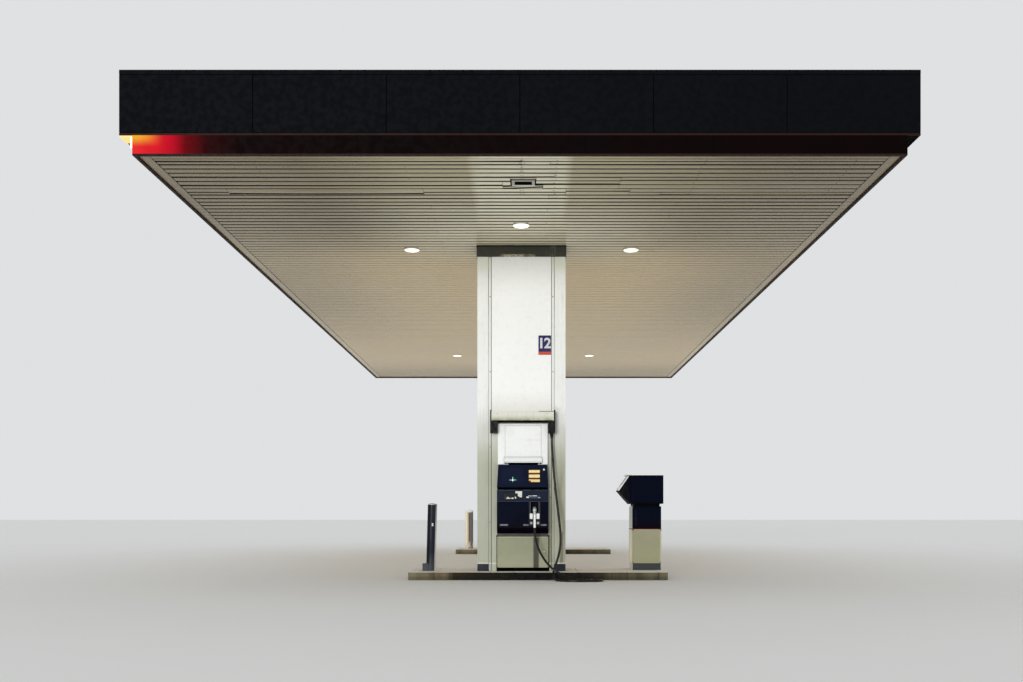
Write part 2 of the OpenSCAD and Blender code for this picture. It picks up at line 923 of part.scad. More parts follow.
// Leaning steel tube with a low block at its foot
module front_bollard() {
    height = front_bollard_height;
    color("darkslategray") translate([bollard_x, -pylon_y - bollard_out, island_height]) {
        intersection() {
            rotate([0, bollard_lean, 0]) translate([0, 0, -foot_height])
                cylinder(h = height + foot_height, r = front_bollard_radius, $fn = round_fn);
            block([height, height, 2 * height], 0);
        }
        slab([-foot_out, foot_width - foot_out], [-foot_depth / 2, foot_depth / 2],
             [0, foot_height]);
    }
}

// Upright tube, open at the top and filled to half its height
module rear_bollard() {
    height = rear_bollard_height;
    color("beige") translate([bollard_x, pylon_y + bollard_out, island_height]) difference() {
        cylinder(h = height, r = rear_bollard_radius, $fn = round_fn);
        translate([0, 0, height / 2])
            cylinder(h = height, r = rear_bollard_radius - rear_bollard_wall, $fn = round_fn);
    }
}

soffit();
soffit_border();
front_light_band();
rear_light_band();
left_light_band();
right_light_band();
front_fascia();
rear_fascia();
left_fascia();
right_fascia();
roof_sheet();
spine_beam();
cross_beams();
ceiling_hatch();
downlight_cans();
downlight_lenses();
pylon_cores();
front_pylon_cladding();
rear_pylon_cladding();
front_centre_panels();
rear_centre_panels();
front_arm_boxes();
rear_arm_boxes();
front_display_heads();
rear_display_heads();
front_pump_cabinets();
rear_pump_cabinets();
pylon_collars();
pylon_plinths();
sign_panels();
service_doors();
hose_brackets();
number_plates();
nozzle_boots();
nozzle_cradles();
fuel_hose();
fuel_nozzle();
front_island();
rear_island();
terminal_cabinet();
terminal_housing();
terminal_console();
terminal_cap();
front_bollard();
rear_bollard();
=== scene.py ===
import math
import random

import bmesh
import bpy
from mathutils import Matrix, Vector


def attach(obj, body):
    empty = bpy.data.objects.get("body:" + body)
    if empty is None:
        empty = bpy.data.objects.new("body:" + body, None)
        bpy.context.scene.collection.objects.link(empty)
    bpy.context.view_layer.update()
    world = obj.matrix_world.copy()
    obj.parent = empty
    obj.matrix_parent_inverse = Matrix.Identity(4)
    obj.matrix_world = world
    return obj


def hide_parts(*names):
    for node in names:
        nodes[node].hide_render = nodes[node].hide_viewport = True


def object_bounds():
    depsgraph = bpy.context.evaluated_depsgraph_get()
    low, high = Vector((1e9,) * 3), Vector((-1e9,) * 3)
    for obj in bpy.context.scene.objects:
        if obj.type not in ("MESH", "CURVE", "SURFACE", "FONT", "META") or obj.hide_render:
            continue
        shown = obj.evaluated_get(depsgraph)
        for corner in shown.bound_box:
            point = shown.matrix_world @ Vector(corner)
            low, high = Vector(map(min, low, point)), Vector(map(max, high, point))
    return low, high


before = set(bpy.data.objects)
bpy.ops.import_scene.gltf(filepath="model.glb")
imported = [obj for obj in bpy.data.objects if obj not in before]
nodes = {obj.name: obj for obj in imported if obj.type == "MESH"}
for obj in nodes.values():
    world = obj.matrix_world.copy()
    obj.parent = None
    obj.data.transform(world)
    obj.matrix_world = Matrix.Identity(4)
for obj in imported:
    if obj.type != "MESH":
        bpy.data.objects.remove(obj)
cad_low, cad_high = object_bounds()
rng = random.Random(11)

# Camera, worked out from the ceiling's edges, the kerbs and the pylon
camera_data = bpy.data.cameras.new("camera")
camera_data.lens = 35
camera_data.sensor_width = 36
camera_data.shift_x = -0.0142
camera_data.shift_y = 0.1706
camera_data.clip_end = 400
camera = bpy.data.objects.new("camera", camera_data)
camera.location = (0.07, -20.55, 0.97)
camera.rotation_euler = (math.radians(90), 0, 0)
bpy.context.scene.collection.objects.link(camera)
bpy.context.scene.camera = camera
bpy.context.scene.view_settings.view_transform = "Standard"


# Mesh building
def link(obj, replaced=()):
    """Puts a new piece in the scene, riding on the canopy."""
    bpy.context.scene.collection.objects.link(obj)
    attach(obj, "root")
    if replaced:
        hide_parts(*replaced)


def new_mesh(name, build, smooth=False):
    """A mesh object: build fills its mesh."""
    bm = bmesh.new()
    build(bm)
    bmesh.ops.recalc_face_normals(bm, faces=bm.faces)
    data = bpy.data.meshes.new(name)
    bm.to_mesh(data)
    bm.free()
    if smooth:
        data.shade_smooth()
    return bpy.data.objects.new(name, data)


def skin(bm, rings, loop=False):
    """Faces between rings of places, which are closed at both ends or joined into a loop."""
    rings = [[bm.verts.new(point) for point in ring] for ring in rings]
    for ring, following in zip(rings, rings[1:] + rings[:1] * loop):
        for i in range(len(ring)):
            k = (i + 1) % len(ring)
            bm.faces.new((ring[i], ring[k], following[k], following[i]))
    if not loop:
        bm.faces.new(rings[0][::-1])
        bm.faces.new(rings[-1])


def circle(centre, radius, across, beside, sides):
    """Places on a circle that two directions span."""
    return [centre + radius * (math.cos(a) * across + math.sin(a) * beside)
            for a in (math.tau * k / sides for k in range(sides))]


def add_tube(bm, route, radius, sides=16):
    """A round tube along a route, with its sideways direction carried on without twisting."""
    across = Vector((1, 0, 0))
    rings = []
    for i, point in enumerate(route):
        heading = (route[min(i + 1, len(route) - 1)] - route[max(i - 1, 0)]).normalized()
        across = (across - across.dot(heading) * heading).normalized()
        rings.append(circle(point, radius, across, heading.cross(across), sides))
    skin(bm, rings)


def lathe(bm, profile, place=Matrix(), steps=32, loop=False):
    """A profile of (radius, height) points turned about the Z axis."""
    skin(bm, [[place @ Vector((r * math.cos(a), r * math.sin(a), z))
               for a in (math.tau * i / steps for i in range(steps))] for r, z in profile], loop)


def along_x(a, b, depth):
    return (depth, a, b)


def along_y(a, b, depth):
    return (a, depth, b)


def along_z(a, b, depth):
    return (a, b, depth)


def prism(bm, outline, limits, point, place=Matrix()):
    """An outline drawn out between two limits; point turns (a, b, depth) into a place."""
    skin(bm, [[place @ Vector(point(a, b, depth)) for a, b in outline] for depth in limits])


def block(bm, x, y, z, place=Matrix()):
    """A box between two X places, two Y places and two heights."""
    prism(bm, [(x[0], y[0]), (x[1], y[0]), (x[1], y[1]), (x[0], y[1])], z, along_z, place)


def plates(bm, place, y, thick, *limits):
    """Flat boxes that stand out of a face: each has two X places and two heights."""
    for x0, x1, z0, z1 in limits:
        block(bm, (x0, x1), (y - thick, y), (z0, z1), place)


def edge_frame(bm, place, y, thick, width, x, z):
    """Four strips along the inside of an upright outline."""
    plates(bm, place, y, thick, (*x, z[0], z[0] + width), (*x, z[1] - width, z[1]),
           (x[0], x[0] + width, *z), (x[1] - width, x[1], *z))


def frame_ring(bm, half_x, half_y, section, centre=(0, 0)):
    """A section of (outward, height) points swept round a rectangle."""
    skin(bm, [[(centre[0] + i * (half_x + out), centre[1] + j * (half_y + out), z)
               for i, j in ((-1, -1), (1, -1), (1, 1), (-1, 1))] for out, z in section], loop=True)


# Fuel hose: the route from its bracket to the nozzle, as in the part's source
HOSE_DIAMETER = 0.034
HOSE_POINTS = [
    (0.460, -5.420, 2.225), (0.460, -5.422, 2.150), (0.463, -5.428, 2.040), (0.470, -5.440, 1.920),
    (0.480, -5.455, 1.780), (0.492, -5.470, 1.630), (0.504, -5.485, 1.490), (0.518, -5.503, 1.350),
    (0.534, -5.523, 1.210), (0.550, -5.545, 1.070), (0.566, -5.568, 0.930), (0.580, -5.592, 0.800),
    (0.588, -5.614, 0.680), (0.587, -5.636, 0.560), (0.574, -5.656, 0.450), (0.548, -5.674, 0.340),
    (0.515, -5.688, 0.240), (0.487, -5.706, 0.158), (0.476, -5.748, 0.088), (0.484, -5.826, 0.038),
    (0.525, -5.918, 0.019), (0.602, -6.000, 0.017), (0.706, -6.050, 0.017), (0.825, -6.066, 0.017),
    (0.940, -6.067, 0.017), (1.036, -6.063, 0.017), (1.114, -6.042, 0.017), (1.171, -5.985, 0.017),
    (1.192, -5.907, 0.017), (1.171, -5.829, 0.017), (1.114, -5.772, 0.017), (1.036, -5.751, 0.017),
    (0.945, -5.748, 0.019), (0.850, -5.753, 0.028), (0.750, -5.768, 0.044), (0.655, -5.784, 0.072),
    (0.562, -5.792, 0.114), (0.475, -5.778, 0.172), (0.395, -5.738, 0.248), (0.322, -5.684, 0.348),
    (0.262, -5.622, 0.465), (0.218, -5.566, 0.605), (0.200, -5.532, 0.770)]


def smooth_route(points, steps):
    """Points on the smooth curve through a route, with steps parts between each two."""
    route = [Vector(p) for p in points]
    last = len(route) - 1
    out = []
    for i in range(last):
        a, b = route[max(i - 1, 0)], route[i]
        c, d = route[i + 1], route[min(i + 2, last)]
        for k in range(steps):
            t = k / steps
            out.append(0.5 * (2 * b + (c - a) * t + (2 * a - 5 * b + 4 * c - d) * t * t
                              + (3 * b - a - 3 * c + d) * t * t * t))
    out.append(route[last])
    return out


hose_route = smooth_route(HOSE_POINTS, 6)
hose = new_mesh("hose", lambda bm: add_tube(bm, hose_route, HOSE_DIAMETER / 2), smooth=True)
link(hose, ["fuel_hose"])


# Sizes that the finishes need: the rows of boards, the light band's seams and the doors' width
BOARD_FIRST = -7.733
BOARD_LAST = 9.04
BOARD_ROWS = 116
BOARD_PITCH = (BOARD_LAST - BOARD_FIRST) / BOARD_ROWS
PANEL_STEP_X = 1.475
PANEL_STEP_Y = 18.4 / 12
DOOR_X = (-0.372, 0.412)
SCREEN_GAMMA = 2.2


# Finishes: colours are given as they show on a screen, 0 to 255
def rgb(red, green, blue):
    """A screen colour turned into the renderer's values."""
    return tuple((v / 255) ** SCREEN_GAMMA for v in (red, green, blue)) + (1.0,)


def shade(colour, factor):
    """A screen colour with its light multiplied by a factor."""
    return tuple(v * factor ** (1 / SCREEN_GAMMA) for v in colour)


class Finish:
    """A material that is built up in layers on object coordinates."""

    def __init__(self, name, colour, roughness=0.5, sheen=0.5, metallic=0.0):
        self.mat = bpy.data.materials.new(name)
        self.mat.use_nodes = True
        self.tree = self.mat.node_tree
        self.shader = self.tree.nodes["Principled BSDF"].inputs
        self.colour = rgb(*colour)
        self.normal = None
        for socket, value in (("Base Color", self.colour), ("Roughness", roughness),
                              ("Specular IOR Level", sheen), ("Metallic", metallic)):
            self.shader[socket].default_value = value
        self.coords = self.tree.nodes.new("ShaderNodeTexCoord").outputs["Object"]
        self.axes = self.node("SeparateXYZ", {"Vector": self.coords}).outputs

    def feed(self, socket, value):
        """Sets a socket to a value, or joins it to the output that gives the value."""
        if isinstance(value, bpy.types.NodeSocket):
            self.tree.links.new(value, socket)
        else:
            socket.default_value = value

    def node(self, kind, inputs, **settings):
        new = self.tree.nodes.new("ShaderNode" + kind)
        for key, value in settings.items():
            setattr(new, key, value)
        for key, value in inputs.items():
            self.feed(new.inputs[key], value)
        return new

    def calc(self, operation, first, second=0.0, **settings):
        return self.node("Math", {0: first, 1: second}, operation=operation, **settings).outputs[0]

    def mix(self, mask, first, second):
        return self.node("Mix", {0: mask, 6: first, 7: second}, data_type="RGBA").outputs[2]

    def plus(self, first, second):
        return self.calc("ADD", first, second, use_clamp=True)

    def span(self, value, low, high, out_low=0.0, out_high=1.0):
        """The value turned from low..high into out_low..out_high, with a smooth step."""
        return self.node("MapRange", {"Value": value, "From Min": low, "From Max": high,
                                      "To Min": out_low, "To Max": out_high},
                         interpolation_type="SMOOTHSTEP").outputs["Result"]

    def slope(self, letter, *limits):
        """A smooth step along an axis, with the limits that span takes."""
        return self.span(self.axes[letter], *limits)

    def where(self, *masks, **limits):
        """All the masks and limits multiplied. Limits along x, y or z: two places make a step that
        rises from the first to the second, and a third value a stretch between soft ends."""
        parts = list(masks)
        for key, (low, high, *soft) in limits.items():
            letter = key.upper()
            if soft:
                parts.append(self.slope(letter, low - soft[0], low + soft[0]))
                parts.append(self.slope(letter, high - soft[0], high + soft[0], 1, 0))
            else:
                parts.append(self.slope(letter, low, high))
        product = parts[0]
        for part in parts[1:]:
            product = self.calc("MULTIPLY", product, part)
        return product

    def noise(self, scale, low=0.4, high=0.65, stretch=(1, 1, 1), detail=5):
        place = self.node("Mapping", {"Vector": self.coords, "Scale": stretch}).outputs[0]
        texture = self.node("TexNoise", {"Vector": place, "Scale": scale, "Detail": detail})
        return self.span(texture.outputs["Fac"], low, high)

    def cells(self, scale):
        texture = self.node("TexVoronoi", {"Vector": self.coords, "Scale": scale})
        return texture.outputs["Distance"]

    def both(self, low, high, soft):
        """1 between two distances from the middle, on the left and on the right."""
        return self.plus(self.where(x=(-high, -low, soft)), self.where(x=(low, high, soft)))

    def stripes(self, letter, start, pitch, half, soft):
        """1 on narrow lines that repeat along an axis."""
        place = self.calc("SUBTRACT", self.axes[letter], start)
        return self.span(self.calc("PINGPONG", place, pitch / 2), half, half + soft, 1, 0)

    def by_board(self):
        """A random value from 0 to 1 for each row of ceiling boards."""
        place = self.calc("SUBTRACT", self.axes["Y"], BOARD_FIRST)
        index = self.calc("FLOOR", self.calc("DIVIDE", place, BOARD_PITCH))
        return self.node("TexWhiteNoise", {"W": index}, noise_dimensions="1D").outputs["Value"]

    def ramp(self, stops):
        """Colours along X, between the places given in the stops."""
        places = list(stops)
        low, high = places[0], places[-1]
        share = self.node("MapRange", {"Value": self.axes["X"], "From Min": low, "From Max": high})
        new = self.node("ValToRGB", {0: share.outputs["Result"]})
        elements = new.color_ramp.elements
        for element, place in zip(elements, (low, high)):
            element.color = rgb(*stops[place])
        for place in places[1:-1]:
            elements.new((place - low) / (high - low)).color = rgb(*stops[place])
        return new.outputs["Color"]

    def facing(self, low, high):
        """1 where the surface looks along X: from low to high of its share of that way."""
        normal = self.node("NewGeometry", {}).outputs["Normal"]
        return self.span(self.node("SeparateXYZ", {"Vector": normal}).outputs["X"], low, high)

    def edges(self, radius):
        """1 along sharp edges of the shape."""
        rounded = self.node("Bevel", {"Radius": radius}).outputs[0]
        flat = self.node("NewGeometry", {}).outputs["Normal"]
        match = self.node("VectorMath", {0: rounded, 1: flat}, operation="DOT_PRODUCT")
        return self.span(match.outputs["Value"], 0.8, 0.97, 1, 0)

    def paint(self, colour, *masks, **limits):
        """Lays a colour over the surface where the masks and limits say."""
        if isinstance(colour, tuple):
            colour = rgb(*colour)
        self.colour = self.mix(self.where(*masks, **limits), self.colour, colour)
        self.feed(self.shader["Base Color"], self.colour)

    def gloss(self, low, high, scale, start=0.3, end=0.7, stretch=(1, 1, 1)):
        """Roughness that wanders between two values."""
        mask = self.noise(scale, start, end, stretch)
        self.feed(self.shader["Roughness"], self.span(mask, 0, 1, low, high))

    def bump(self, height, distance, strength, detail=5, stretch=(1, 1, 1)):
        """Fine relief: the height is an output, or the scale of a noise."""
        if not isinstance(height, bpy.types.NodeSocket):
            height = self.noise(height, 0.3, 0.7, stretch, detail)
        inputs = {"Height": height, "Distance": distance, "Strength": strength}
        if self.normal:
            inputs["Normal"] = self.normal
        self.normal = self.node("Bump", inputs).outputs[0]
        self.feed(self.shader["Normal"], self.normal)

    def glow(self, strength, colour):
        self.feed(self.shader["Emission Strength"], strength)
        self.feed(self.shader["Emission Color"], colour)


def sheet_metal(name, colour, roughness=0.4, grime=0.35, streaks=0.3, wear=0.5, sheen=0.4,
                dirt=(84, 74, 48), bare=(120, 104, 84), clouds=0.5):
    """Painted sheet metal: cloudy tone, run-down streaks, worn edges and a fine paint skin."""
    f = Finish(name, colour, roughness, sheen)
    f.paint(shade(colour, 0.9), clouds, f.noise(1.7))
    f.paint(shade(dirt, 1.3), grime, f.noise(9, 0.5, 0.8))
    f.paint(dirt, streaks, f.noise(4, 0.52, 0.78, (9, 9, 0.5)))
    f.paint(bare, wear, f.edges(0.006), f.noise(26, 0.45, 0.6))
    f.gloss(roughness * 0.88, min(1, roughness * 1.15), 14)
    f.bump(320, 0.0003, 0.25, detail=2)
    f.bump(2.2, 0.003, 0.15, detail=1)
    return f


def cladding_finish():
    """White pylon cladding that turns darker and greenish towards its foot, with stains, painted shade in
    the gaps beside the cover strips and a painted shadow under the pump cabinet.
    """
    f = sheet_metal("cladding_paint", (244, 245, 241), 0.38, 0.1, 0.14, clouds=0.2)
    low = f.slope("Z", 2.7, 1.7)
    f.paint((166, 169, 147), 0.92, low)
    f.paint((148, 150, 122), 0.4, low, f.noise(4, 0.45, 0.75, (2, 2, 0.3)))
    f.paint((132, 126, 92), 0.35, f.noise(5, 0.45, 0.75, (2, 2, 0.4)), z=(0.1, 1, 0.5))
    right = f.where(x=(0.56, 0.66, 0.06), z=(0.5, 1.6, 0.5))
    f.paint((128, 122, 88), 0.4, right)
    f.paint((88, 74, 48), 0.85, f.noise(9, 0.2, 0.55, (3, 3, 0.4)),
            x=(0.588, 0.634, 0.014), z=(0.15, 0.72, 0.014))
    f.paint((104, 92, 58), 0.6, right, f.noise(6, 0.3, 0.7, (2, 2, 0.3)))
    f.paint((116, 112, 74), 0.7, x=(0.43, 0.46, 0.012), z=(1.235, 1.262, 0.012))
    f.paint((88, 78, 44), 0.8, f.noise(9, 0.3, 0.6, (3, 3, 0.5)),
            x=(0.43, 0.455, 0.02), z=(0.2, 0.72, 0.02))
    f.paint((222, 222, 208), 0.6, z=(0.228, 0.25, 0.006))
    # Painted shade in the gaps beside the cover strips, darker towards the top.
    f.paint((66, 64, 50), f.both(0.4995, 0.508, 0.001), f.slope("Z", 3.4, 4.6, 0.25, 0.9))
    f.paint((44, 42, 30), f.both(0.457, 0.4665, 0.001), f.slope("Z", 2.6, 4.6, 0.5, 0.95))
    f.paint((226, 231, 203), 0.6, z=(4.72, 4.95, 0.1))
    # Painted shadow under the pump cabinet, above the service door.
    f.paint((40, 33, 24), 0.96, x=(*DOOR_X, 0.006), z=(0.65, 0.706, 0.006))
    return f


def panel_finish():
    """Near white centre panels, a little dirty towards their foot."""
    f = sheet_metal("panel_paint", (252, 252, 250), 0.3, 0.03, 0.04, 0.25, clouds=0.12)
    f.paint((214, 213, 204), 0.5, z=(2.95, 2.5))
    return f


def arm_finish():
    f = sheet_metal("arm_paint", (226, 226, 214), 0.42, 0.3, 0.4, dirt=(128, 124, 76))
    f.paint((186, 188, 162), 0.7, z=(2.5, 2.43))
    f.paint((138, 136, 92), 0.9, f.noise(4, 0.3, 0.65, (3, 3, 1)), z=(2.38, 2.43, 0.03))
    return f


def door_finish():
    """Olive grey doors with one dark run below their upper edge."""
    f = sheet_metal("door_paint", (149, 150, 122), 0.45, 0.15, 0.04)
    f.paint((182, 178, 150), 0.35, z=(0.5, 0.1))
    f.paint((52, 47, 30), 0.96, f.noise(9, 0.1, 0.42, (3, 3, 0.4)),
            x=(0.182, 0.266, 0.012), z=(0.12, 0.66, 0.012))
    f.paint((206, 204, 178), 0.5, z=(0.634, 0.644, 0.004))
    f.paint((66, 58, 40), z=(0.648, 0.66, 0.003))
    return f


def navy_finish():
    """Dark blue pump plastic with painted reflections as pale dashes where its face bends back, and a
    painted highlight along the shoulder under its band.
    """
    f = Finish("navy_housing", (9, 16, 34), 0.36, 0.03)
    f.paint((7, 11, 24), 0.5, f.noise(3))
    f.paint((26, 32, 52), 0.85, z=(1.385, 1.395))
    f.paint((40, 45, 60), 0.9, z=(1.2, 1.36, 0.006))
    f.paint((78, 84, 102), f.noise(9, 0.35, 0.6), z=(1.352, 1.362, 0.003))
    # Painted highlight along the shoulder under the band.
    f.paint((92, 104, 132), z=(1.186, 1.1905, 0.0015))
    f.paint((40, 46, 66), 0.15, f.noise(40, 0.58, 0.85, (1, 1, 4)))
    # Painted reflections: pale dashes where the face bends back.
    left, middle, right = [f.where(x=(*ends, 0.015))
                           for ends in ((-0.324, -0.203), (0.032, 0.108), (0.29, 0.381))]
    f.paint((186, 190, 202), f.plus(left, f.plus(middle, right)),
            f.noise(24, 0.25, 0.5, (1, 1, 3)), z=(0.815, 0.838, 0.006))
    f.paint((78, 84, 104), 0.6, f.edges(0.005), f.noise(30, 0.45, 0.65))
    f.paint((15, 9, 18), f.slope("Z", 0.95, 0.72), z=(0.6, 0.7))
    f.gloss(0.28, 0.44, 18)
    f.bump(600, 0.0002, 0.3, detail=2)
    return f


def terminal_navy_finish():
    """Dark blue terminal housing, redder at its foot, with painted shadow beneath its head and painted
    lamp light on its left flank under the head.
    """
    f = Finish("terminal_navy", (8, 15, 31), 0.42, 0.03)
    f.paint((12, 18, 30), 0.5, f.noise(3))
    f.paint((20, 9, 17), 0.7, z=(0.72, 0.86, 0.05))
    # Painted shadow beneath the head.
    f.paint((3, 5, 10), z=(1.1, 1.17, 0.02))
    # Painted lamp light on the left-facing flank under the head.
    f.paint((204, 208, 204), f.facing(-0.5, -0.8), z=(0.757, 1.118, 0.002))
    f.paint((60, 64, 80), 0.4, f.edges(0.004), f.noise(30, 0.5, 0.7))
    f.gloss(0.34, 0.52, 18)
    f.bump(600, 0.0002, 0.3, detail=2)
    return f


def collar_finish():
    """Dark grey collar with paint that has peeled along its lower edge."""
    f = sheet_metal("collar_paint", (68, 68, 62), 0.5, 0.3, sheen=0.2, dirt=(96, 90, 70))
    bare = f.plus(f.where(x=(-0.3, 0.05, 0.06)), f.where(0.7, x=(0.1, 0.2, 0.03)))
    f.paint((202, 194, 164), 0.85, bare, f.noise(30, 0.36, 0.56, (1, 1, 2)), z=(4.92, 4.965, 0.012))
    f.paint((14, 14, 12), z=(5.082, 5.088))
    f.paint((150, 142, 116), 0.5, f.noise(30, 0.5, 0.66, (4, 4, 0.4)), x=(0.44, 0.53, 0.03))
    return f


def boards_finish():
    """Cream ceiling boards with a clear sheen, dusty near the front and warmer towards the back; painted
    light gives a lighter strip of painted reflection before the pylon, a painted pool of lamp light and
    painted shade at the sides and edges.
    """
    f = Finish("ceiling_boards", (232, 206, 153), 0.12, 0.3)
    near = f.slope("Y", -6, -3.5, 1, 0)
    # Painted reflection and painted shade: a light strip down the middle where the pylon is mirrored, and
    # the front rows darker towards the sides.
    f.paint(f.ramp({-4.3: (78, 70, 48), -2.6: (120, 110, 80), -1.4: (192, 182, 147),
                    -0.64: (208, 200, 165), -0.55: (250, 247, 216), 0.55: (250, 247, 216),
                    0.64: (202, 194, 160), 1.4: (178, 169, 135), 2.6: (126, 117, 87),
                    4.3: (62, 56, 38)}), f.slope("Y", -6.9, -4.3, 1, 0))
    # Painted pool of light round the front middle lamp.
    f.paint((255, 250, 222), 0.85, x=(-1.5, 1.5, 1.3), y=(-7.1, -4.9, 1.1))
    # Painted shade that darkens the boards towards the sides, most at the front.
    outside = f.plus(f.slope("X", -1.4, -4.2), f.slope("X", 1.4, 4.2))
    f.paint((150, 132, 98), outside, f.slope("Y", -2, 5, 0.75, 0.1))
    f.paint((160, 134, 70), 0.9, y=(5.6, 8.8))
    f.paint((48, 41, 28), 0.85, f.plus(f.both(4.248, 4.27, 0.004), f.where(y=(9.034, 9.056, 0.004))))
    f.paint((160, 150, 122), 0.2, near, f.by_board())
    f.paint((212, 196, 158), 0.25, f.noise(0.35, 0.35, 0.7, detail=3))
    f.paint((180, 170, 140), 0.2, near, f.noise(5, 0.5, 0.8, (0.15, 1, 1)))
    f.paint((110, 98, 76), 0.5, near, f.noise(60, 0.7, 0.8))
    # Painted shade near each board's edges in the front rows, as the rolled edges turn away from the
    # light.
    f.paint((96, 87, 64), f.stripes("Y", BOARD_FIRST, BOARD_PITCH, 0.006, 0.026),
            f.slope("Y", -7.5, -4.5, 0.75, 0), y=(BOARD_FIRST - 0.01, BOARD_FIRST + 0.01))
    # Painted shade on the rolled edges, so that the gaps between the boards read dark; it fades out
    # towards the back.
    f.paint((20, 16, 11), f.slope("Y", -5.5, -3.5, 0.98, 0), z=(5.1002, 5.1016))
    f.gloss(0.08, 0.16, 7, stretch=(0.3, 1, 1))
    f.bump(0.9, 0.004, 0.12, 1, (0.3, 1, 1))
    return f


def band_finish(lit):
    """Dark red light band; behind its front left end a lamp still burns."""
    f = Finish("light_band_lit" if lit else "light_band", (18, 6, 8), 0.5, 0.03)
    f.paint((13, 6, 8), 0.6, f.noise(1.2))
    f.paint((6, 5, 6), f.plus(f.stripes("X", PANEL_STEP_X / 2, PANEL_STEP_X, 0.003, 0.003),
                              f.stripes("Y", PANEL_STEP_Y / 2, PANEL_STEP_Y, 0.003, 0.003)))
    f.gloss(0.4, 0.62, 12)
    f.bump(1.1, 0.003, 0.3, detail=1)
    if lit:
        along = f.ramp({-4.43: (238, 48, 52), -4.2: (230, 34, 48), -4: (200, 18, 42),
                        -3.82: (108, 9, 20), -3.58: (44, 6, 9), -3.2: (16, 2, 3), -2: (0, 0, 0)})
        top = f.where(f.slope("X", -4.4, -4.05, 1, 0), z=(5.17, 5.3))
        f.glow(f.span(f.noise(6, 0.2, 0.8), 0, 1, 0.85, 1), f.mix(top, along, rgb(255, 176, 52)))
    return f


def roof_finish():
    """Galvanised roof sheet with soft rust that starts at its eaves."""
    f = Finish("roof_sheet", (140, 144, 146), 0.48, metallic=0.5)
    f.paint((112, 118, 122), 0.2, f.span(f.cells(70), 0.1, 0.6))
    f.paint((116, 112, 104), 0.5, f.noise(0.9, 0.35, 0.75, detail=8))
    f.paint((118, 92, 70), 0.5, f.noise(2, 0.5, 0.8, (0.35, 1, 1), 8))
    f.paint((104, 70, 48), 0.7, f.noise(3, 0.35, 0.75, detail=8), z=(5.79, 5.735))
    f.gloss(0.4, 0.68, 10)
    f.bump(40, 0.001, 0.4)
    return f


def steel(name, colour, roughness, metallic):
    f = Finish(name, colour, roughness, metallic=metallic)
    f.paint(shade(colour, 0.7), 0.4, f.noise(6))
    f.paint((96, 66, 44), 0.5, f.noise(24, 0.6, 0.8))
    f.gloss(roughness * 0.7, min(1, roughness * 1.5), 30, stretch=(1, 1, 6))
    f.bump(160, 0.0004, 0.4)
    return f


def plastic(name, colour, roughness=0.5, dusty=(110, 104, 92), dust=0.3, sheen=0.25):
    f = Finish(name, colour, roughness, sheen)
    f.paint(shade(colour, 0.8), 0.5, f.noise(5))
    f.paint(dusty, dust, f.noise(12, 0.5, 0.8))
    f.gloss(roughness * 0.75, min(1, roughness * 1.3), 40)
    f.bump(500, 0.0003, 0.4, detail=2)
    return f


def kerb_finish():
    """Weathered concrete with worn white paint along its upper edge and dark patches, its faces painted
    with lamp light towards both ends and with deep painted shade between them.
    """
    f = Finish("kerb_concrete", (236, 230, 220), 0.9, 0.2)
    f.paint((204, 198, 188), 0.5, f.noise(3, 0.4, 0.75))
    f.paint((176, 170, 156), 0.45, f.noise(34, 0.55, 0.75))
    side = f.where(z=(-0.02, 0.1165, 0.0015))
    # Painted lamp light and shade along the kerb faces: lighter near the lamps at both ends, very dark in
    # the middle.
    f.paint(f.ramp({-1.7: (126, 118, 96), -1.14: (112, 102, 79), -1.02: (48, 43, 32),
                    -0.2: (30, 28, 24), 0.2: (13, 12, 12), 0.6: (32, 29, 26), 1.05: (42, 39, 33),
                    1.3: (80, 74, 55), 2.2: (108, 102, 82)}), side)
    f.paint((30, 27, 20), 0.55, side, f.noise(5, 0.4, 0.7, (1, 1, 0.4)))
    f.paint((20, 18, 14), 0.35, z=(-0.02, 0.055, 0.02))
    f.gloss(0.75, 0.95, 20)
    f.bump(90, 0.002, 0.6)
    f.bump(12, 0.004, 0.4)
    return f


def hatch_finish():
    """Grey flange, paler along its back edge, round a mouth that is dark with painted shade."""
    f = sheet_metal("hatch_enamel", (176, 174, 162), 0.35, 0.3, 0.2)
    f.paint((236, 234, 222), y=(-8.132, -8.09, 0.004))
    # Painted shade in the hatch's open mouth.
    f.paint((20, 18, 15), x=(-0.072, 0.144, 0.002), y=(-8.265, -8.135, 0.002), z=(5.093, 5.0955))
    return f


def terminal_cabinet_finish():
    """Olive beige lower cabinet on a slate plinth, with painted lamp light on the left-facing flank of
    both.
    """
    f = sheet_metal("terminal_cabinet_paint", (149, 147, 118), 0.45, 0.12, 0.06)
    f.paint((154, 151, 113), 0.5, z=(0.6, 0.3))
    f.paint((196, 194, 166), 0.6, x=(2.158, 2.168))
    f.paint((206, 190, 164), 0.5, z=(0.742, 0.753, 0.002))
    # Painted lamp light on the left-facing flank of the cabinet and of its plinth.
    flank = f.facing(-0.5, -0.8)
    f.paint((250, 241, 216), flank)
    f.paint((204, 190, 156), 0.4, flank, f.noise(9, 0.45, 0.75, (2, 2, 0.4)))
    f.paint((38, 43, 46), z=(0.228, 0.223))
    f.paint((214, 207, 196), flank, z=(0.228, 0.223))
    return f


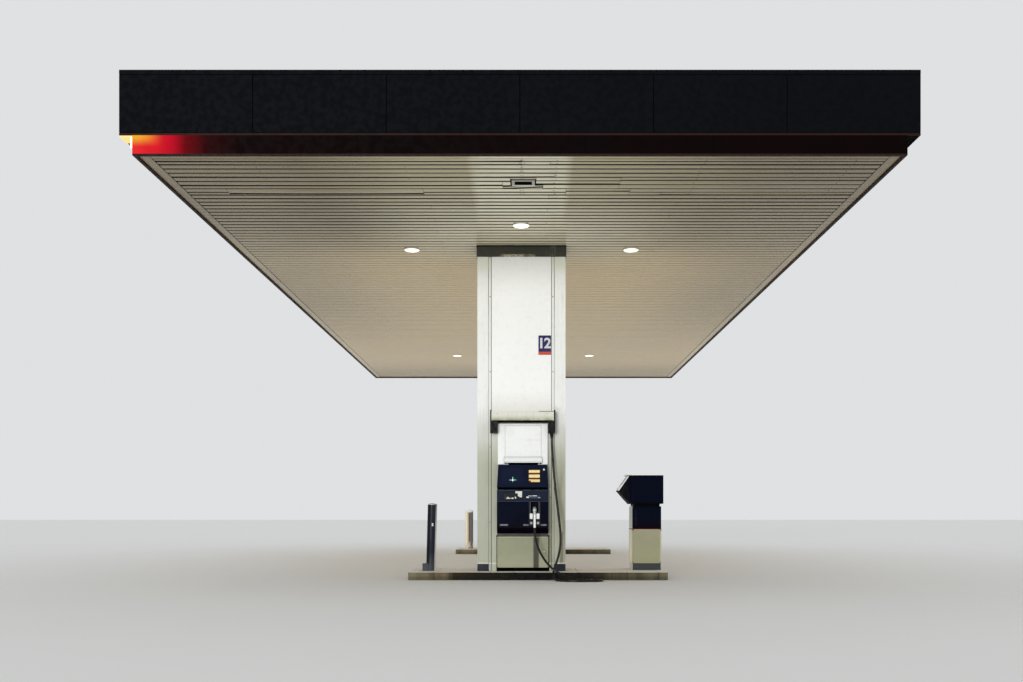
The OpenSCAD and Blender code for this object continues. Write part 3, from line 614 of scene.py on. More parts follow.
def rear_bollard_finish():
    """Cream tube that turns tan and then grey to the right, with a dark stripe between."""
    f = Finish("rear_bollard_paint", (240, 230, 200))
    f.paint((164, 146, 122), x=(-1.45, -1.425))
    f.paint((112, 113, 113), x=(-1.39, -1.375))
    f.paint((48, 42, 36), x=(-1.398, -1.376, 0.004), z=(0.3, 1.03, 0.03))
    f.paint((204, 190, 170), f.noise(12, 0.4, 0.6), z=(0.12, 0.28, 0.03))
    f.paint((112, 98, 66), 0.3, f.noise(14, 0.5, 0.75))
    f.gloss(0.4, 0.65, 20)
    f.bump(80, 0.0008, 0.4)
    return f


def front_bollard_finish():
    """Near black tube, greyer at its foot, with painted shade on its left side and a painted highlight
    down its right side, stronger towards the foot.
    """
    f = Finish("front_bollard_paint", (34, 37, 50), 0.42, 0.15)
    f.paint((64, 68, 80), 0.4, f.noise(5, 0.5, 0.75, (6, 6, 0.4)))
    f.paint((84, 88, 90), 0.5, z=(0.45, 0.15))
    # Painted shade on the left-facing side.
    f.paint((9, 10, 15), f.facing(0.1, -0.75), z=(0.225, 0.235))
    # Painted highlight of lamp light down the right-facing side.
    f.paint((214, 210, 204), f.facing(0.72, 0.86), f.slope("Z", 1.2, 0.7, 0.65, 1))
    f.paint((150, 152, 154), 0.6, f.edges(0.006), f.noise(20, 0.4, 0.6))
    f.gloss(0.34, 0.52, 14, stretch=(1, 1, 0.3))
    f.bump(120, 0.0006, 0.4)
    return f


def glass_finish():
    f = Finish("display_glass", (27, 33, 54), 0.06, 0.06)
    f.paint(shade((27, 33, 54), 1.5), 0.3, f.noise(9, 0.5, 0.8))
    f.gloss(0.06, 0.26, 16, 0.4)
    f.bump(30, 0.0004, 0.2, detail=1)
    return f


def lens(name, colour, strength):
    """A glowing lens with a fine cell pattern."""
    f = Finish(name, colour, 0.3)
    cells = f.cells(90)
    f.paint(shade(colour, 0.8), 0.3, f.span(cells, 0.2, 0.7))
    f.bump(cells, 0.002, 0.5)
    f.gloss(0.2, 0.4, 30, 0.4, 0.65)
    f.glow(strength, rgb(*colour))
    return f


def rubber_finish():
    f = Finish("hose_rubber", (7, 7, 8), 0.34, 0.35)
    f.paint((16, 15, 15), 0.4, f.noise(9, 0.45, 0.7))
    f.paint((70, 66, 60), 0.2, f.noise(70, 0.66, 0.78))
    f.gloss(0.2, 0.36, 16)
    f.bump(260, 0.0005, 0.3)
    return f


def dress(finish, *names):
    """Gives a finish to CAD nodes, and hands it on for the pieces that share it."""
    for name in names:
        data = nodes[name].data
        data.materials.clear()
        data.materials.append(finish.mat)
    return finish


hose.data.materials.append(rubber_finish().mat)
dress(panel_finish(), "front_centre_panels", "rear_centre_panels")
dress(arm_finish(), "front_arm_boxes", "rear_arm_boxes")
dress(collar_finish(), "pylon_collars")
dress(hatch_finish(), "ceiling_hatch")
dress(rear_bollard_finish(), "rear_bollard")
dress(band_finish(True), "front_light_band")
dress(band_finish(False), "rear_light_band", "left_light_band", "right_light_band")
dress(steel("frame_steel", (104, 106, 104), 0.55, 0.5), "spine_beam", "cross_beams", "pylon_cores")
dress(lens("lamp_lens", (255, 246, 222), 2.2), "downlight_lenses")
dress(plastic("bracket_paint", (18, 17, 18), 0.5, (58, 44, 30), 0.5, 0.15), "hose_brackets")
dress(plastic("console_plastic", (17, 19, 27), 0.55, (44, 42, 44), 0.5, 0.05), "terminal_console")
dress(plastic("plate_blue", (8, 18, 92), 0.35, dust=0.05), "number_plates")
dress(sheet_metal("plinth_paint", (42, 45, 55), 0.5, 0.25, sheen=0.15, dirt=(78, 76, 66)),
      "pylon_plinths")

CLADDING = dress(cladding_finish(), "front_pylon_cladding", "rear_pylon_cladding")
DOOR = dress(door_finish(), "service_doors")
NAVY = dress(navy_finish(), "front_display_heads", "rear_display_heads", "front_pump_cabinets",
             "rear_pump_cabinets")
TERMINAL_NAVY = dress(terminal_navy_finish(), "terminal_housing")
TERMINAL_CABINET = dress(terminal_cabinet_finish(), "terminal_cabinet")
FRONT_BOLLARD = dress(front_bollard_finish(), "front_bollard")
BOARDS = dress(boards_finish(), "soffit_border")
ROOF = dress(roof_finish(), "roof_sheet")
# Near-black backing behind the boards, dark enough to serve as painted shade in the gaps, and the finish
# of the dark sheets of painted shadow.
BACKING_AND_SHADOW = dress(plastic("ceiling_backing", (8, 7, 5), 0.85, (24, 20, 15), 0.2, 0.03), "soffit")
BOOT = dress(plastic("boot_plastic", (26, 29, 38), 0.5, (70, 74, 84), 0.4, 0.15), "nozzle_boots")
WHITE = dress(sheet_metal("white_enamel", (236, 236, 231), 0.3, 0.12, 0.1),
              "downlight_cans", "terminal_cap")
SIGN = dress(sheet_metal("sign_enamel", (250, 251, 249), 0.3, 0.02, 0.02, 0.3), "sign_panels")

FASCIA = sheet_metal("fascia_paint", (9, 11, 17), 0.6, 0.12, 0.1, 0.15, 0.06, (18, 18, 20), (30, 32, 38))
LIP = sheet_metal("lip_paint", (42, 24, 20), 0.5, 0.4, 0.2, 0.5, 0.1, (40, 30, 24), (70, 52, 44))
KERB = kerb_finish()
SILVER = steel("silver_metal", (196, 198, 200), 0.28, 0.9)
SCREW = steel("screw_steel", (150, 148, 140), 0.4, 0.8)
DULL_SILVER = steel("dull_silver", (186, 190, 192), 0.45, 0.4)
GREY_LINE = plastic("grey_line", (186, 186, 180))
OLIVE = plastic("olive_stain", (140, 138, 88), 0.7, (96, 92, 56), 0.5)
BOOT_EDGE = plastic("boot_edge", (78, 80, 88), 0.5, (40, 42, 50), 0.5, 0.2)
BLACK = plastic("black_plastic", (16, 16, 17))
CRADLE = plastic("cradle_plastic", (250, 250, 247), 0.4, dust=0.08)
DIM_WHITE = plastic("cradle_foot", (168, 170, 174), 0.45, (120, 122, 128), 0.4)
PLATE_RED = plastic("plate_red", (214, 74, 34), 0.4, dust=0.15)
LABEL = plastic("label_white", (230, 230, 224), 0.55)
FADED = plastic("faded_label", (58, 68, 92), 0.5, (120, 128, 144), 0.6)
BROWN = plastic("display_brown", (104, 54, 20), 0.45, (60, 28, 10), 0.6, 0.1)
SURROUND = plastic("display_surround", (30, 13, 6), 0.5, (64, 30, 12), 0.5, 0.08)
DISPLAY = plastic("display_cream", (255, 236, 176), 0.35, (244, 184, 96), 0.7)
RUST = plastic("rust_line", (104, 58, 38), 0.8, (70, 40, 26), 0.6)
GLASS = glass_finish()
GREEN = lens("display_green", (58, 132, 104), 0.3)
CORE = lens("display_core", (196, 255, 226), 0.7)
TUBE_LIGHT = lens("corner_lamp", (255, 226, 170), 1.8)
# Painted light: the eaves tray and the lamp bezels glow, though they are no lamps, for the light that the
# bare tube and the downlights throw on them.
EAVES_GLOW = lens("eaves_glow", (255, 206, 124), 0.75)
LIT_RIM = lens("lamp_rim_painted_glow", (255, 248, 228), 0.75)


# Places that several pieces share
CEILING = 5.1
BAND_TOP = 5.31
ROOF_TOP = cad_high[2]
BAND_X = 4.425
ROOF_Y = 9.2
FASCIA_X = cad_high[0]
PYLON_Y = 5.1
FACE_Y = -0.225
FACES = [Matrix.Translation((0, side * PYLON_Y, 0)) @ Matrix.Rotation(turn, 4, "Z")
         for side in (-1, 1) for turn in (0, math.pi)]
FRONT = FACES[0]
DOOR_Z = (0.175, 0.655)
ISLAND_TOP = 0.12
LAMPS = [(x, side * PYLON_Y) for side in (-1, 1) for x in (-1.7, 1.7)]
LAMPS += [(0, side * (PYLON_Y + 1.3)) for side in (-1, 1)]
LYING = Matrix.Rotation(math.radians(90), 4, "X")


def piece(name, build, finish, replaced=(), bevel=0.0, smooth=False):
    """A new piece of the canopy with its finish; bevel rounds its sharp edges."""
    obj = new_mesh(name, build, smooth)
    obj.data.materials.append(finish.mat)
    if bevel:
        mod = obj.modifiers.new("bevel", "BEVEL")
        mod.width = bevel
        mod.segments = 2
        mod.limit_method = "ANGLE"
    link(obj, replaced)


def on_faces(build):
    """Repeats a builder on all four pump faces."""
    def build_all(bm):
        for place in FACES:
            build(bm, place)
    return build_all


# Ceiling boards
BOARD_X = 4.252
BOARD_GAPS = (0.026, 0.0015)
BOARD_LIFT = 0.011
BUTT_JOINT = 0.003
LAMP_CLEAR = 0.112
HATCH = ((-0.107, 0.179), (-8.3, -8.1))
PYLON_CLEAR = (0.69, 0.24)


def board_section(width):
    """Outline of a board from edge to edge: rolled edges and a slightly crowned face."""
    edge = width / 2
    half = [(edge, BOARD_LIFT), (edge - 0.0008, 0.006), (edge - 0.0045, 0.0022),
            (edge - 0.013, 0.0004), (edge / 2, -0.0007)]
    return [(-y, z) for y, z in half] + [(0, -0.001)] + half[::-1]


def add_board(bm, x_start, x_end, front, back, sag=0.0, skew=0.0):
    """One board between two X places and two Y places; a loose one sags and lies askew."""
    middle = (front + back) / 2
    parts = max(2, int((x_end - x_start) / 0.7))
    rows = []
    for i in range(parts + 1):
        t = i / parts
        x = x_start + (x_end - x_start) * t
        drop = sag * math.sin(math.pi * t) + rng.uniform(-0.0006, 0.0006)
        shift = skew * (t - 0.5)
        rows.append([bm.verts.new((x, middle + y + shift, CEILING + z - drop))
                     for y, z in board_section(back - front)])
    for row, following in zip(rows, rows[1:]):
        for i in range(len(row) - 1):
            bm.faces.new((row[i], row[i + 1], following[i + 1], following[i]))
    for row in (rows[0], rows[-1]):
        bm.faces.new([bm.verts.new(vert.co) for vert in row])


def lamp_reach(y, front, back):
    """Half the width that a row leaves free at a lamp: nothing where it passes clear of it."""
    away = abs(min(max(y, front), back) - y)
    return math.sqrt(LAMP_CLEAR ** 2 - away ** 2) if away < LAMP_CLEAR else 0.0


def openings_in_row(front, back):
    """Stretches of X that the boards of a row leave free: lamps, pylons and the hatch."""
    stretches = []
    for x, y in LAMPS:
        reach = lamp_reach(y, front, back)
        if reach:
            stretches.append((x - reach, x + reach))
    for side in (-1, 1):
        if back > side * PYLON_Y - PYLON_CLEAR[1] and front < side * PYLON_Y + PYLON_CLEAR[1]:
            stretches.append((-PYLON_CLEAR[0], PYLON_CLEAR[0]))
    if back > HATCH[1][0] and front < HATCH[1][1]:
        stretches.append(HATCH[0])
    return sorted(stretches)


def add_row(bm, front, back, joint, x_start=-BOARD_X, x_end=BOARD_X, sag=0.0):
    """A row of boards between two X places, with a butt joint and its openings left free."""
    x = x_start
    for low, high in openings_in_row(front, back) + [(x_end, x_end)]:
        low = min(low, x_end)
        stops = [x, low] if low > x else []
        if x + 0.2 < joint < low - 0.2:
            stops = [x, joint - BUTT_JOINT / 2, joint + BUTT_JOINT / 2, low]
        for start, end in zip(stops[::2], stops[1::2]):
            add_board(bm, start, end, front, back, sag)
        x = max(x, high)


def add_fillers(bm, front, back):
    """Narrow boards that close a row up to a pylon or lamp which takes up part of its width."""
    least = 0.012
    closed = [(0, side * PYLON_Y, *PYLON_CLEAR) for side in (-1, 1)]
    closed += [(x, y, lamp_reach(y, front, back), LAMP_CLEAR) for x, y in LAMPS]
    for x, y, reach, depth in closed:
        if reach and front + least < y - depth < back:
            add_board(bm, x - reach, x + reach, front, y - depth)
        if reach and front < y + depth < back - least:
            add_board(bm, x - reach, x + reach, y + depth, back)


# Boards of the front rows, some of them slipped: X limits, front and back edge, sag
FRONT_BOARDS = [
    (-BOARD_X, 0.019, -9.035, -8.958, 0.003), (0.023, BOARD_X, -9.035, -8.948, 0),
    (-BOARD_X, 0.019, -8.932, -8.850, 0.003), (0.023, 0.352, -8.942, -8.841, 0),
    (0.356, BOARD_X, -8.942, -8.850, 0),
    (-BOARD_X, 0.019, -8.826, -8.705, 0), (0.023, BOARD_X, -8.826, -8.705, 0),
    (-BOARD_X, 0.019, -8.685, -8.560, 0), (0.023, BOARD_X, -8.685, -8.560, 0),
    (-BOARD_X, 0.42, -8.540, -8.424, 0.003), (0.424, BOARD_X, -8.540, -8.412, 0),
    (-BOARD_X, -0.125, -8.390, -8.265, 0), (-0.121, 0.193, -8.390, -8.333, 0),
    (0.197, 1.234, -8.396, -8.281, 0), (1.238, BOARD_X, -8.400, -8.305, 0),
    (-BOARD_X, -0.224, -8.245, -8.120, 0.003), (-0.22, -0.125, -8.245, -8.096, 0),
    (0.197, 1.234, -8.271, -8.168, 0), (1.238, BOARD_X, -8.285, -8.140, 0),
    (-BOARD_X, -0.224, -8.086, -7.985, 0), (0.284, 1.234, -8.128, -7.985, 0),
    (1.238, BOARD_X, -8.132, -7.985, 0),
    (-BOARD_X, -3.732, -7.977, -7.850, 0), (-3.728, -1.241, -7.977, -7.806, 0.005),
    (-1.237, 0.578, -7.977, -7.849, 0), (0.582, 1.39, -7.977, -7.895, 0.003),
    (1.394, BOARD_X, -7.977, -7.850, 0),
    (-BOARD_X, -3.732, -7.834, -7.742, 0), (-3.728, -1.241, -7.776, -7.742, 0),
    (-1.237, 0.578, -7.831, -7.742, 0), (0.582, 1.39, -7.871, -7.742, 0),
    (1.394, 1.79, -7.840, -7.742, 0), (1.794, BOARD_X, -7.840, -7.752, 0.003)]


def build_boards(bm):
    """The front rows as they hang, and even rows behind them whose gaps soon close."""
    for x_start, x_end, front, back, sag in FRONT_BOARDS:
        add_row(bm, front, back, BOARD_X, x_start, x_end, sag)
    wide, narrow = BOARD_GAPS
    for i in range(BOARD_ROWS):
        half = max(narrow, wide - (wide - narrow) * i / 20) / 2
        front = BOARD_FIRST + i * BOARD_PITCH + half
        back = BOARD_FIRST + i * BOARD_PITCH + BOARD_PITCH - half
        add_row(bm, front, back, (0.36, -2.95, 2.05, -1.2)[i % 4])
        add_fillers(bm, front, back)


def build_slipped_strip(bm):
    """Short strip beside the hatch that lies askew, and the wedge of board behind it."""
    add_board(bm, -0.218, 0.278, -8.080, -8.034, 0.003, -0.06)
    prism(bm, [(-0.05, -7.982), (0.278, -8.022), (0.278, -7.982)], (CEILING, CEILING + 0.008), along_z)


def build_board_rivets(bm):
    """Dark rivets that hold the front boards, which have come loose, to their carriers."""
    for x in (-3.12, -1.36, 0.0, 0.042, 0.43, 2.16, 3.92):
        for y in (-8.99, -8.89, -8.765, -8.62, -8.475, -8.35, -8.19, -8.04, -7.91, -7.79):
            place = Matrix.Translation((x + rng.uniform(-0.012, 0.012), y, CEILING))
            lathe(bm, [(0.008, 0.004), (0.008, -0.0015), (0.005, -0.003)], place, 8)


piece("ceiling_boards", build_boards, BOARDS, smooth=True)
piece("slipped_strip", build_slipped_strip, BOARDS, smooth=True)
piece("board_rivets", build_board_rivets, BACKING_AND_SHADOW, smooth=True)


# Roof edge
FASCIA_LOW = BAND_TOP + 0.03
FASCIA_HIGH = 6.0
BACKING_TOP = 6.03
PANEL_THICK = 0.008
PANEL_GAP = 0.008


def build_band_lip(bm):
    """Lip that hangs below the light band, with its lower corners eased."""
    frame_ring(bm, BAND_X, ROOF_Y, [
        (0, CEILING), (0, CEILING - 0.018), (-0.002, CEILING - 0.02), (-0.037, CEILING - 0.02),
        (-0.04, CEILING - 0.017), (-0.04, CEILING)])


def build_fascia_backing(bm):
    frame_ring(bm, FASCIA_X, ROOF_Y, [
        (-0.008, BAND_TOP), (-0.008, BACKING_TOP), (-0.04, BACKING_TOP), (-0.04, BAND_TOP)])
    for side in (-1, 1):
        block(bm, (side * (BAND_X - 0.04), side * (FASCIA_X - 0.04)), (-9.16, 9.16),
              (BAND_TOP, BAND_TOP + 0.012))


def panel_stops(length, count):
    """Start and end of each of count panels, with gaps between them."""
    step = length / count
    return [(-length / 2 + i * step + (PANEL_GAP / 2 if i else 0),
             -length / 2 + (i + 1) * step - (PANEL_GAP / 2 if i < count - 1 else 0))
            for i in range(count)]


def build_fascia_panels(bm):
    """Fascia panels with narrow open joints between them."""
    high = (FASCIA_LOW, FASCIA_HIGH)
    for side in (-1, 1):
        for stops in panel_stops(2 * FASCIA_X, 6):
            block(bm, stops, (side * ROOF_Y, side * (ROOF_Y - PANEL_THICK)), high)
        for stops in panel_stops(2 * (ROOF_Y - PANEL_THICK - 0.001), 12):
            block(bm, (side * FASCIA_X, side * (FASCIA_X - PANEL_THICK)), stops, high)


def build_drip(bm):
    """Narrow drip profile along the fascia's foot."""
    frame_ring(bm, FASCIA_X, ROOF_Y, [
        (0, BAND_TOP + 0.002), (0, BAND_TOP + 0.024), (-0.008, BAND_TOP + 0.028),
        (-0.008, BAND_TOP - 0.004), (-0.003, BAND_TOP - 0.004)])


def build_cap(bm):
    """Flashing folded over the top of the fascia."""
    folds = [(0, 0.055), (0, 0.006), (-0.005, 0), (-0.08, 0.006), (-0.08, 0.04), (-0.074, 0.04),
             (-0.074, 0.012), (-0.008, 0.012), (-0.008, 0.055)]
    frame_ring(bm, FASCIA_X, ROOF_Y, [(out, ROOF_TOP - drop) for out, drop in folds])


def build_corner_lamp(bm):
    """Bare tube at the front left corner, in the gap that a missing cover leaves."""
    place = Matrix.Translation((-BAND_X - 0.022, -ROOF_Y + 0.03, 0))
    lathe(bm, [(0.006, 5.175), (0.011, 5.18), (0.011, 5.296), (0.006, 5.302)], place, 16)


def build_corner_glow(bm):
    """Glowing tray under the eaves beside the bare tube, with a folded rim: painted light for the eaves'
    underside that the tube lights.
    """
    x = (-FASCIA_X + 0.002, -BAND_X - 0.002)
    y = (-ROOF_Y + 0.002, -8.98)
    rim, top = BAND_TOP - 0.01, BAND_TOP - 0.005
    width = 0.006
    block(bm, x, y, (top, top + 0.0005))
    for start in (y[0], y[1] - width):
        block(bm, x, (start, start + width), (rim, top))
    for start in (x[0], x[1] - width):
        block(bm, (start, start + width), (y[0] + width, y[1] - width), (rim, top))


piece("band_lip", build_band_lip, LIP)
piece("fascia_backing", build_fascia_backing, BACKING_AND_SHADOW,
      ["front_fascia", "rear_fascia", "left_fascia", "right_fascia"])
piece("fascia_panels", build_fascia_panels, FASCIA, bevel=0.002)
piece("fascia_drip", build_drip, LIP)
piece("fascia_cap", build_cap, FASCIA)
piece("corner_lamp", build_corner_lamp, TUBE_LIGHT, smooth=True)
piece("painted_eaves_light", build_corner_glow, EAVES_GLOW)


# Roof sheet's ridge and lamps
RIDGE_X = 0.1
RIDGE_Z = 5.84
EAVES_X = 4.535
EAVES_Z = 5.74
COVER_X = 0.3
COVER_Z = RIDGE_Z + (EAVES_Z - RIDGE_Z) * (COVER_X - RIDGE_X) / (EAVES_X - RIDGE_X) + 0.03


def build_ridge(bm):
    """Folded ridge cover over the ends of the ribs."""
    thick = 0.006
    prism(bm, [(-COVER_X, COVER_Z), (-COVER_X, COVER_Z + thick), (0, RIDGE_Z + 0.052),
               (COVER_X, COVER_Z + thick), (COVER_X, COVER_Z), (0, RIDGE_Z + 0.046)],
          (-9.15, 9.15), along_y)


def build_bezels(bm):
    """Stepped ring round each lamp's rim, glowing faintly with painted lamp light."""
    for x, y in LAMPS:
        lathe(bm, [(0.097, -0.0104), (0.100, -0.015), (0.108, -0.015), (0.119, -0.0104)],
              Matrix.Translation((x, y, CEILING)), 48, loop=True)


piece("ridge_cover", build_ridge, ROOF)
piece("lamp_bezels", build_bezels, LIT_RIM, smooth=True)


# Pylon faces
STRIP = (0.4635, 0.4995)
COLLAR_FOOT = 4.93


@on_faces
def build_cover_strips(bm, place):
    """Narrow covers between the centre panel and the corner strips."""
    for side in (-1, 1):
        block(bm, (side * STRIP[0], side * STRIP[1]), (FACE_Y + 0.002, FACE_Y + 0.028),
              (0.121, COLLAR_FOOT - 0.001), place)


def knob(bm, place, x, y, z, profile, steps):
    """A round fitting on a face that looks along -Y."""
    lathe(bm, profile, place @ Matrix.Translation((x, y, z)) @ LYING, steps)


@on_faces
def build_screws(bm, place):
    """Domed screw heads on the cover strips and the arm boxes."""
    heads = [(x, FACE_Y + 0.002, z, 0.009) for x in (-0.48, 0.48) for z in (4.32, 3.17, 2.02, 0.87)]
    heads += [(x, FACE_Y - 0.2, z, 0.006) for x in (-0.36, 0.39) for z in (2.44, 2.51)]
    for x, y, z, radius in heads:
        knob(bm, place, x, y, z, [(radius, 0), (radius, 0.002), (radius * 0.7, 0.0042),
                                  (radius * 0.25, 0.005)], 12)


piece("cover_strips", build_cover_strips, CLADDING, bevel=0.003)
piece("panel_screws", build_screws, SCREW, smooth=True)


# Number plates
NUMBERS = ["12", "11", "14", "13"]
PLATE_X = (0.26, 0.452)
PLATE_FOOT = 3.43
PLATE_OUT = FACE_Y - 0.006


@on_faces
def build_plate_foot(bm, place):
    plates(bm, place, PLATE_OUT, 0.001,
           (PLATE_X[0] + 0.003, PLATE_X[1] - 0.003, PLATE_FOOT + 0.003, PLATE_FOOT + 0.046))


def add_number(index, place):
    text = bpy.data.curves.new(f"number_{index}", "FONT")
    text.body = NUMBERS[index]
    text.size = 0.216
    text.offset = 0.006
    text.extrude = 0.0008
    text.align_x = "CENTER"
    text.align_y = "CENTER"
    text.space_character = 0.9
    drawn = bpy.data.objects.new("number_drawn", text)
    bpy.context.scene.collection.objects.link(drawn)
    shape = drawn.evaluated_get(bpy.context.evaluated_depsgraph_get())
    data = bpy.data.meshes.new_from_object(shape)
    bpy.data.objects.remove(drawn)
    middle = Matrix.Translation((sum(PLATE_X) / 2 - 0.004, PLATE_OUT - 0.001, 3.6))
    data.transform(place @ middle @ LYING)
    data.materials.clear()
    data.materials.append(LABEL.mat)
    link(bpy.data.objects.new(f"number_{index}", data))


piece("plate_strips", build_plate_foot, PLATE_RED)
for number_index, number_place in enumerate(FACES):
    add_number(number_index, number_place)


# Arm box and sign panel
ARM_X = (-0.452, 0.492)
ARM_OUT = FACE_Y - 0.2
SIGN_OUT = FACE_Y - 0.06
SIGN_X = (-0.25, 0.299)
SIGN_Z = (1.862, 2.34)
LEDGE_X = (-0.265, 0.314)
LEDGE_FOOT = 1.79


@on_faces
def build_painted_shadow_sheets(bm, place):
    """Dark sheets of painted shadow: under the arm box, over the cabinet and round the service door."""
    plates(bm, place, ARM_OUT, 0.0015, (ARM_X[0] + 0.004, ARM_X[1] - 0.004, 2.4, 2.409))
    plates(bm, place, FACE_Y - 0.06, 0.13, (ARM_X[0] + 0.09, ARM_X[1] - 0.09, 2.386, 2.399))
    prism(bm, [(FACE_Y, 1.361), (FACE_Y - 0.095, 1.361), (FACE_Y - 0.085, 1.38),
               (FACE_Y - 0.095, 1.399), (FACE_Y, 1.399)], (DOOR_X[0] + 0.004, DOOR_X[1] - 0.004),
          along_x, place)
    plates(bm, place, FACE_Y, 0.012, (*DOOR_X, ISLAND_TOP, DOOR_Z[0] - 0.002))
    plates(bm, place, FACE_Y, 0.003, (DOOR_X[0] - 0.01, DOOR_X[0], ISLAND_TOP, DOOR_Z[1] + 0.02),
           (DOOR_X[1], DOOR_X[1] + 0.016, ISLAND_TOP, DOOR_Z[1] + 0.02))


@on_faces
def build_arm_lip(bm, place):
    plates(bm, place, ARM_OUT, 0.002, (0.26, ARM_X[1], 2.538, 2.549))


@on_faces
def build_hook(bm, place):
    """White loop of wire on the arm box's right end."""
    centre = Vector((0.5, ARM_OUT + 0.03, 2.6))
    rings = []
    for i in range(13):
        a = math.radians(-30 + 20 * i)
        middle = centre + Vector((0.022 * math.cos(a), 0, 0.03 * math.sin(a)))
        out = Vector((math.cos(a), 0, math.sin(a)))
        rings.append([place @ point for point in circle(middle, 0.005, out, Vector((0, 1, 0)), 8)])
    skin(bm, rings)


@on_faces
def build_sign_frame(bm, place):
    """Raised frame and ledge on the sign panel."""
    width = 0.007
    plates(bm, place, SIGN_OUT, 0.004, (SIGN_X[0], SIGN_X[0] + width, *SIGN_Z),
           (SIGN_X[1] - width, SIGN_X[1], *SIGN_Z), (*SIGN_X, SIGN_Z[1] - width, SIGN_Z[1]))
    y = SIGN_OUT
    prism(bm, [(y, 1.78), (y - 0.03, 1.775), (y - 0.034, LEDGE_FOOT), (y - 0.012, SIGN_Z[0]),
               (y, SIGN_Z[0])], LEDGE_X, along_x, place)


@on_faces
def build_sign_lines(bm, place):
    """Fine grey joints round the sign's inner sheet and along its ledge."""
    line = 0.003
    plates(bm, place, SIGN_OUT, 0.0045, (SIGN_X[0] - line, SIGN_X[0], *SIGN_Z),
           (SIGN_X[1], SIGN_X[1] + line, *SIGN_Z), (*SIGN_X, SIGN_Z[1], SIGN_Z[1] + line))
    plates(bm, place, SIGN_OUT, 0.001, (0.05, 0.292, 2.12, 2.12 + line))
    plates(bm, place, SIGN_OUT, 0.0335, (*LEDGE_X, 1.86, 1.865))
    plates(bm, place, SIGN_OUT, 0.033, (LEDGE_X[0] - line, LEDGE_X[0], LEDGE_FOOT, SIGN_Z[0]),
           (LEDGE_X[1], LEDGE_X[1] + line, LEDGE_FOOT, SIGN_Z[0]))
    plates(bm, place, SIGN_OUT - 0.03, 0.005, (*LEDGE_X, LEDGE_FOOT, LEDGE_FOOT + 0.004))


@on_faces
def build_sign_slot(bm, place):
    """Dark slot and its knobs under the ledge, and a dark bar of painted shadow along the ledge's foot.
    """
    prism(bm, [(-0.225, 1.776), (0.276, 1.776), (0.24, 1.742), (-0.189, 1.742)],
          (SIGN_OUT - 0.006, SIGN_OUT), along_y, place)
    # Painted shadow under the ledge.
    plates(bm, place, SIGN_OUT, 0.028, (LEDGE_X[0] - 0.003, LEDGE_X[1] + 0.003, 1.766, 1.7745))
    for x in (-0.24, 0.29):
        knob(bm, place, x, SIGN_OUT, 1.768, [(0.012, 0), (0.014, 0.006), (0.010, 0.012)], 14)


piece("painted_shadow_sheets", build_painted_shadow_sheets, BACKING_AND_SHADOW)
piece("arm_lip", build_arm_lip, OLIVE)
piece("arm_hooks", build_hook, WHITE, smooth=True)
piece("sign_frames", build_sign_frame, SIGN, bevel=0.0015)
piece("sign_lines", build_sign_lines, GREY_LINE)
piece("sign_slots", build_sign_slot, BACKING_AND_SHADOW)


# Display head: its face leans back
HEAD_FOOT = (1.4, -0.365)
HEAD_TOP = (1.74, -0.315)
PRICE_X = (0.1125, 0.2797)
PRICE_ROWS = ((1.478, 1.518), (1.545, 1.592), (1.620, 1.661))
PRICE_Z = (PRICE_ROWS[0][0], PRICE_ROWS[-1][1])
SALE_X = (-0.3, 0.02)
SALE_Z = (1.45, 1.68)


def on_head(x, z, out):
    """A place on the leaning face, out in front of it."""
    t = (z - HEAD_FOOT[0]) / (HEAD_TOP[0] - HEAD_FOOT[0])
    return Vector((x, HEAD_FOOT[1] + (HEAD_TOP[1] - HEAD_FOOT[1]) * t - out, z))


def head_plates(bm, place, out, *limits):
    """Plates on the leaning face: each has two X places and two heights."""
    for x0, x1, z0, z1 in limits:
        skin(bm, [[place @ on_head(x, z, depth) for x, z in ((x0, z0), (x1, z0), (x1, z1), (x0, z1))]
                  for depth in (0, out)])


def head_frame(bm, place, out, width, x, z):
    """Four strips round the outside of an outline on the leaning face."""
    wide = (x[0] - width, x[1] + width)
    head_plates(bm, place, out, (*wide, z[0] - width, z[0]), (*wide, z[1], z[1] + width),
                (x[0] - width, x[0], *z), (x[1], x[1] + width, *z))


@on_faces
def build_head_frames(bm, place):
    """Frame round the large window, and the seam between it and the price windows."""
    head_frame(bm, place, 0.004, 0.012, SALE_X, SALE_Z)
    head_plates(bm, place, 0.002, (0.049, 0.053, 1.41, 1.735))


@on_faces
def build_head_glass(bm, place):
    head_plates(bm, place, 0.0025, (*SALE_X, *SALE_Z))


@on_faces
def build_price_surround(bm, place):
    """Dark brown frame round the price windows."""
    head_frame(bm, place, 0.005, 0.017, PRICE_X, PRICE_Z)


@on_faces
def build_prices(bm, place):
    head_plates(bm, place, 0.002, *[(*PRICE_X, *row) for row in PRICE_ROWS])


@on_faces
def build_price_bars(bm, place):
    """Brown bars between the windows, and a shadow in the lowest window's left end."""
    head_plates(bm, place, 0.0035, *[(*PRICE_X, lower[1], upper[0])
                                     for lower, upper in zip(PRICE_ROWS, PRICE_ROWS[1:])])
    head_plates(bm, place, 0.003, (PRICE_X[0], PRICE_X[0] + 0.03, PRICE_Z[0], PRICE_Z[0] + 0.024))


@on_faces
def build_digits(bm, place):
    """Faint segments that still glow behind the dark glass."""
    for x in (-0.19, -0.155, -0.12, -0.085):
        head_plates(bm, place, 0.0032, (x, x + 0.018, 1.506, 1.510), (x + 0.015, x + 0.018, 1.506, 1.528))
    head_plates(bm, place, 0.0032, (-0.135, -0.125, 1.52, 1.56))


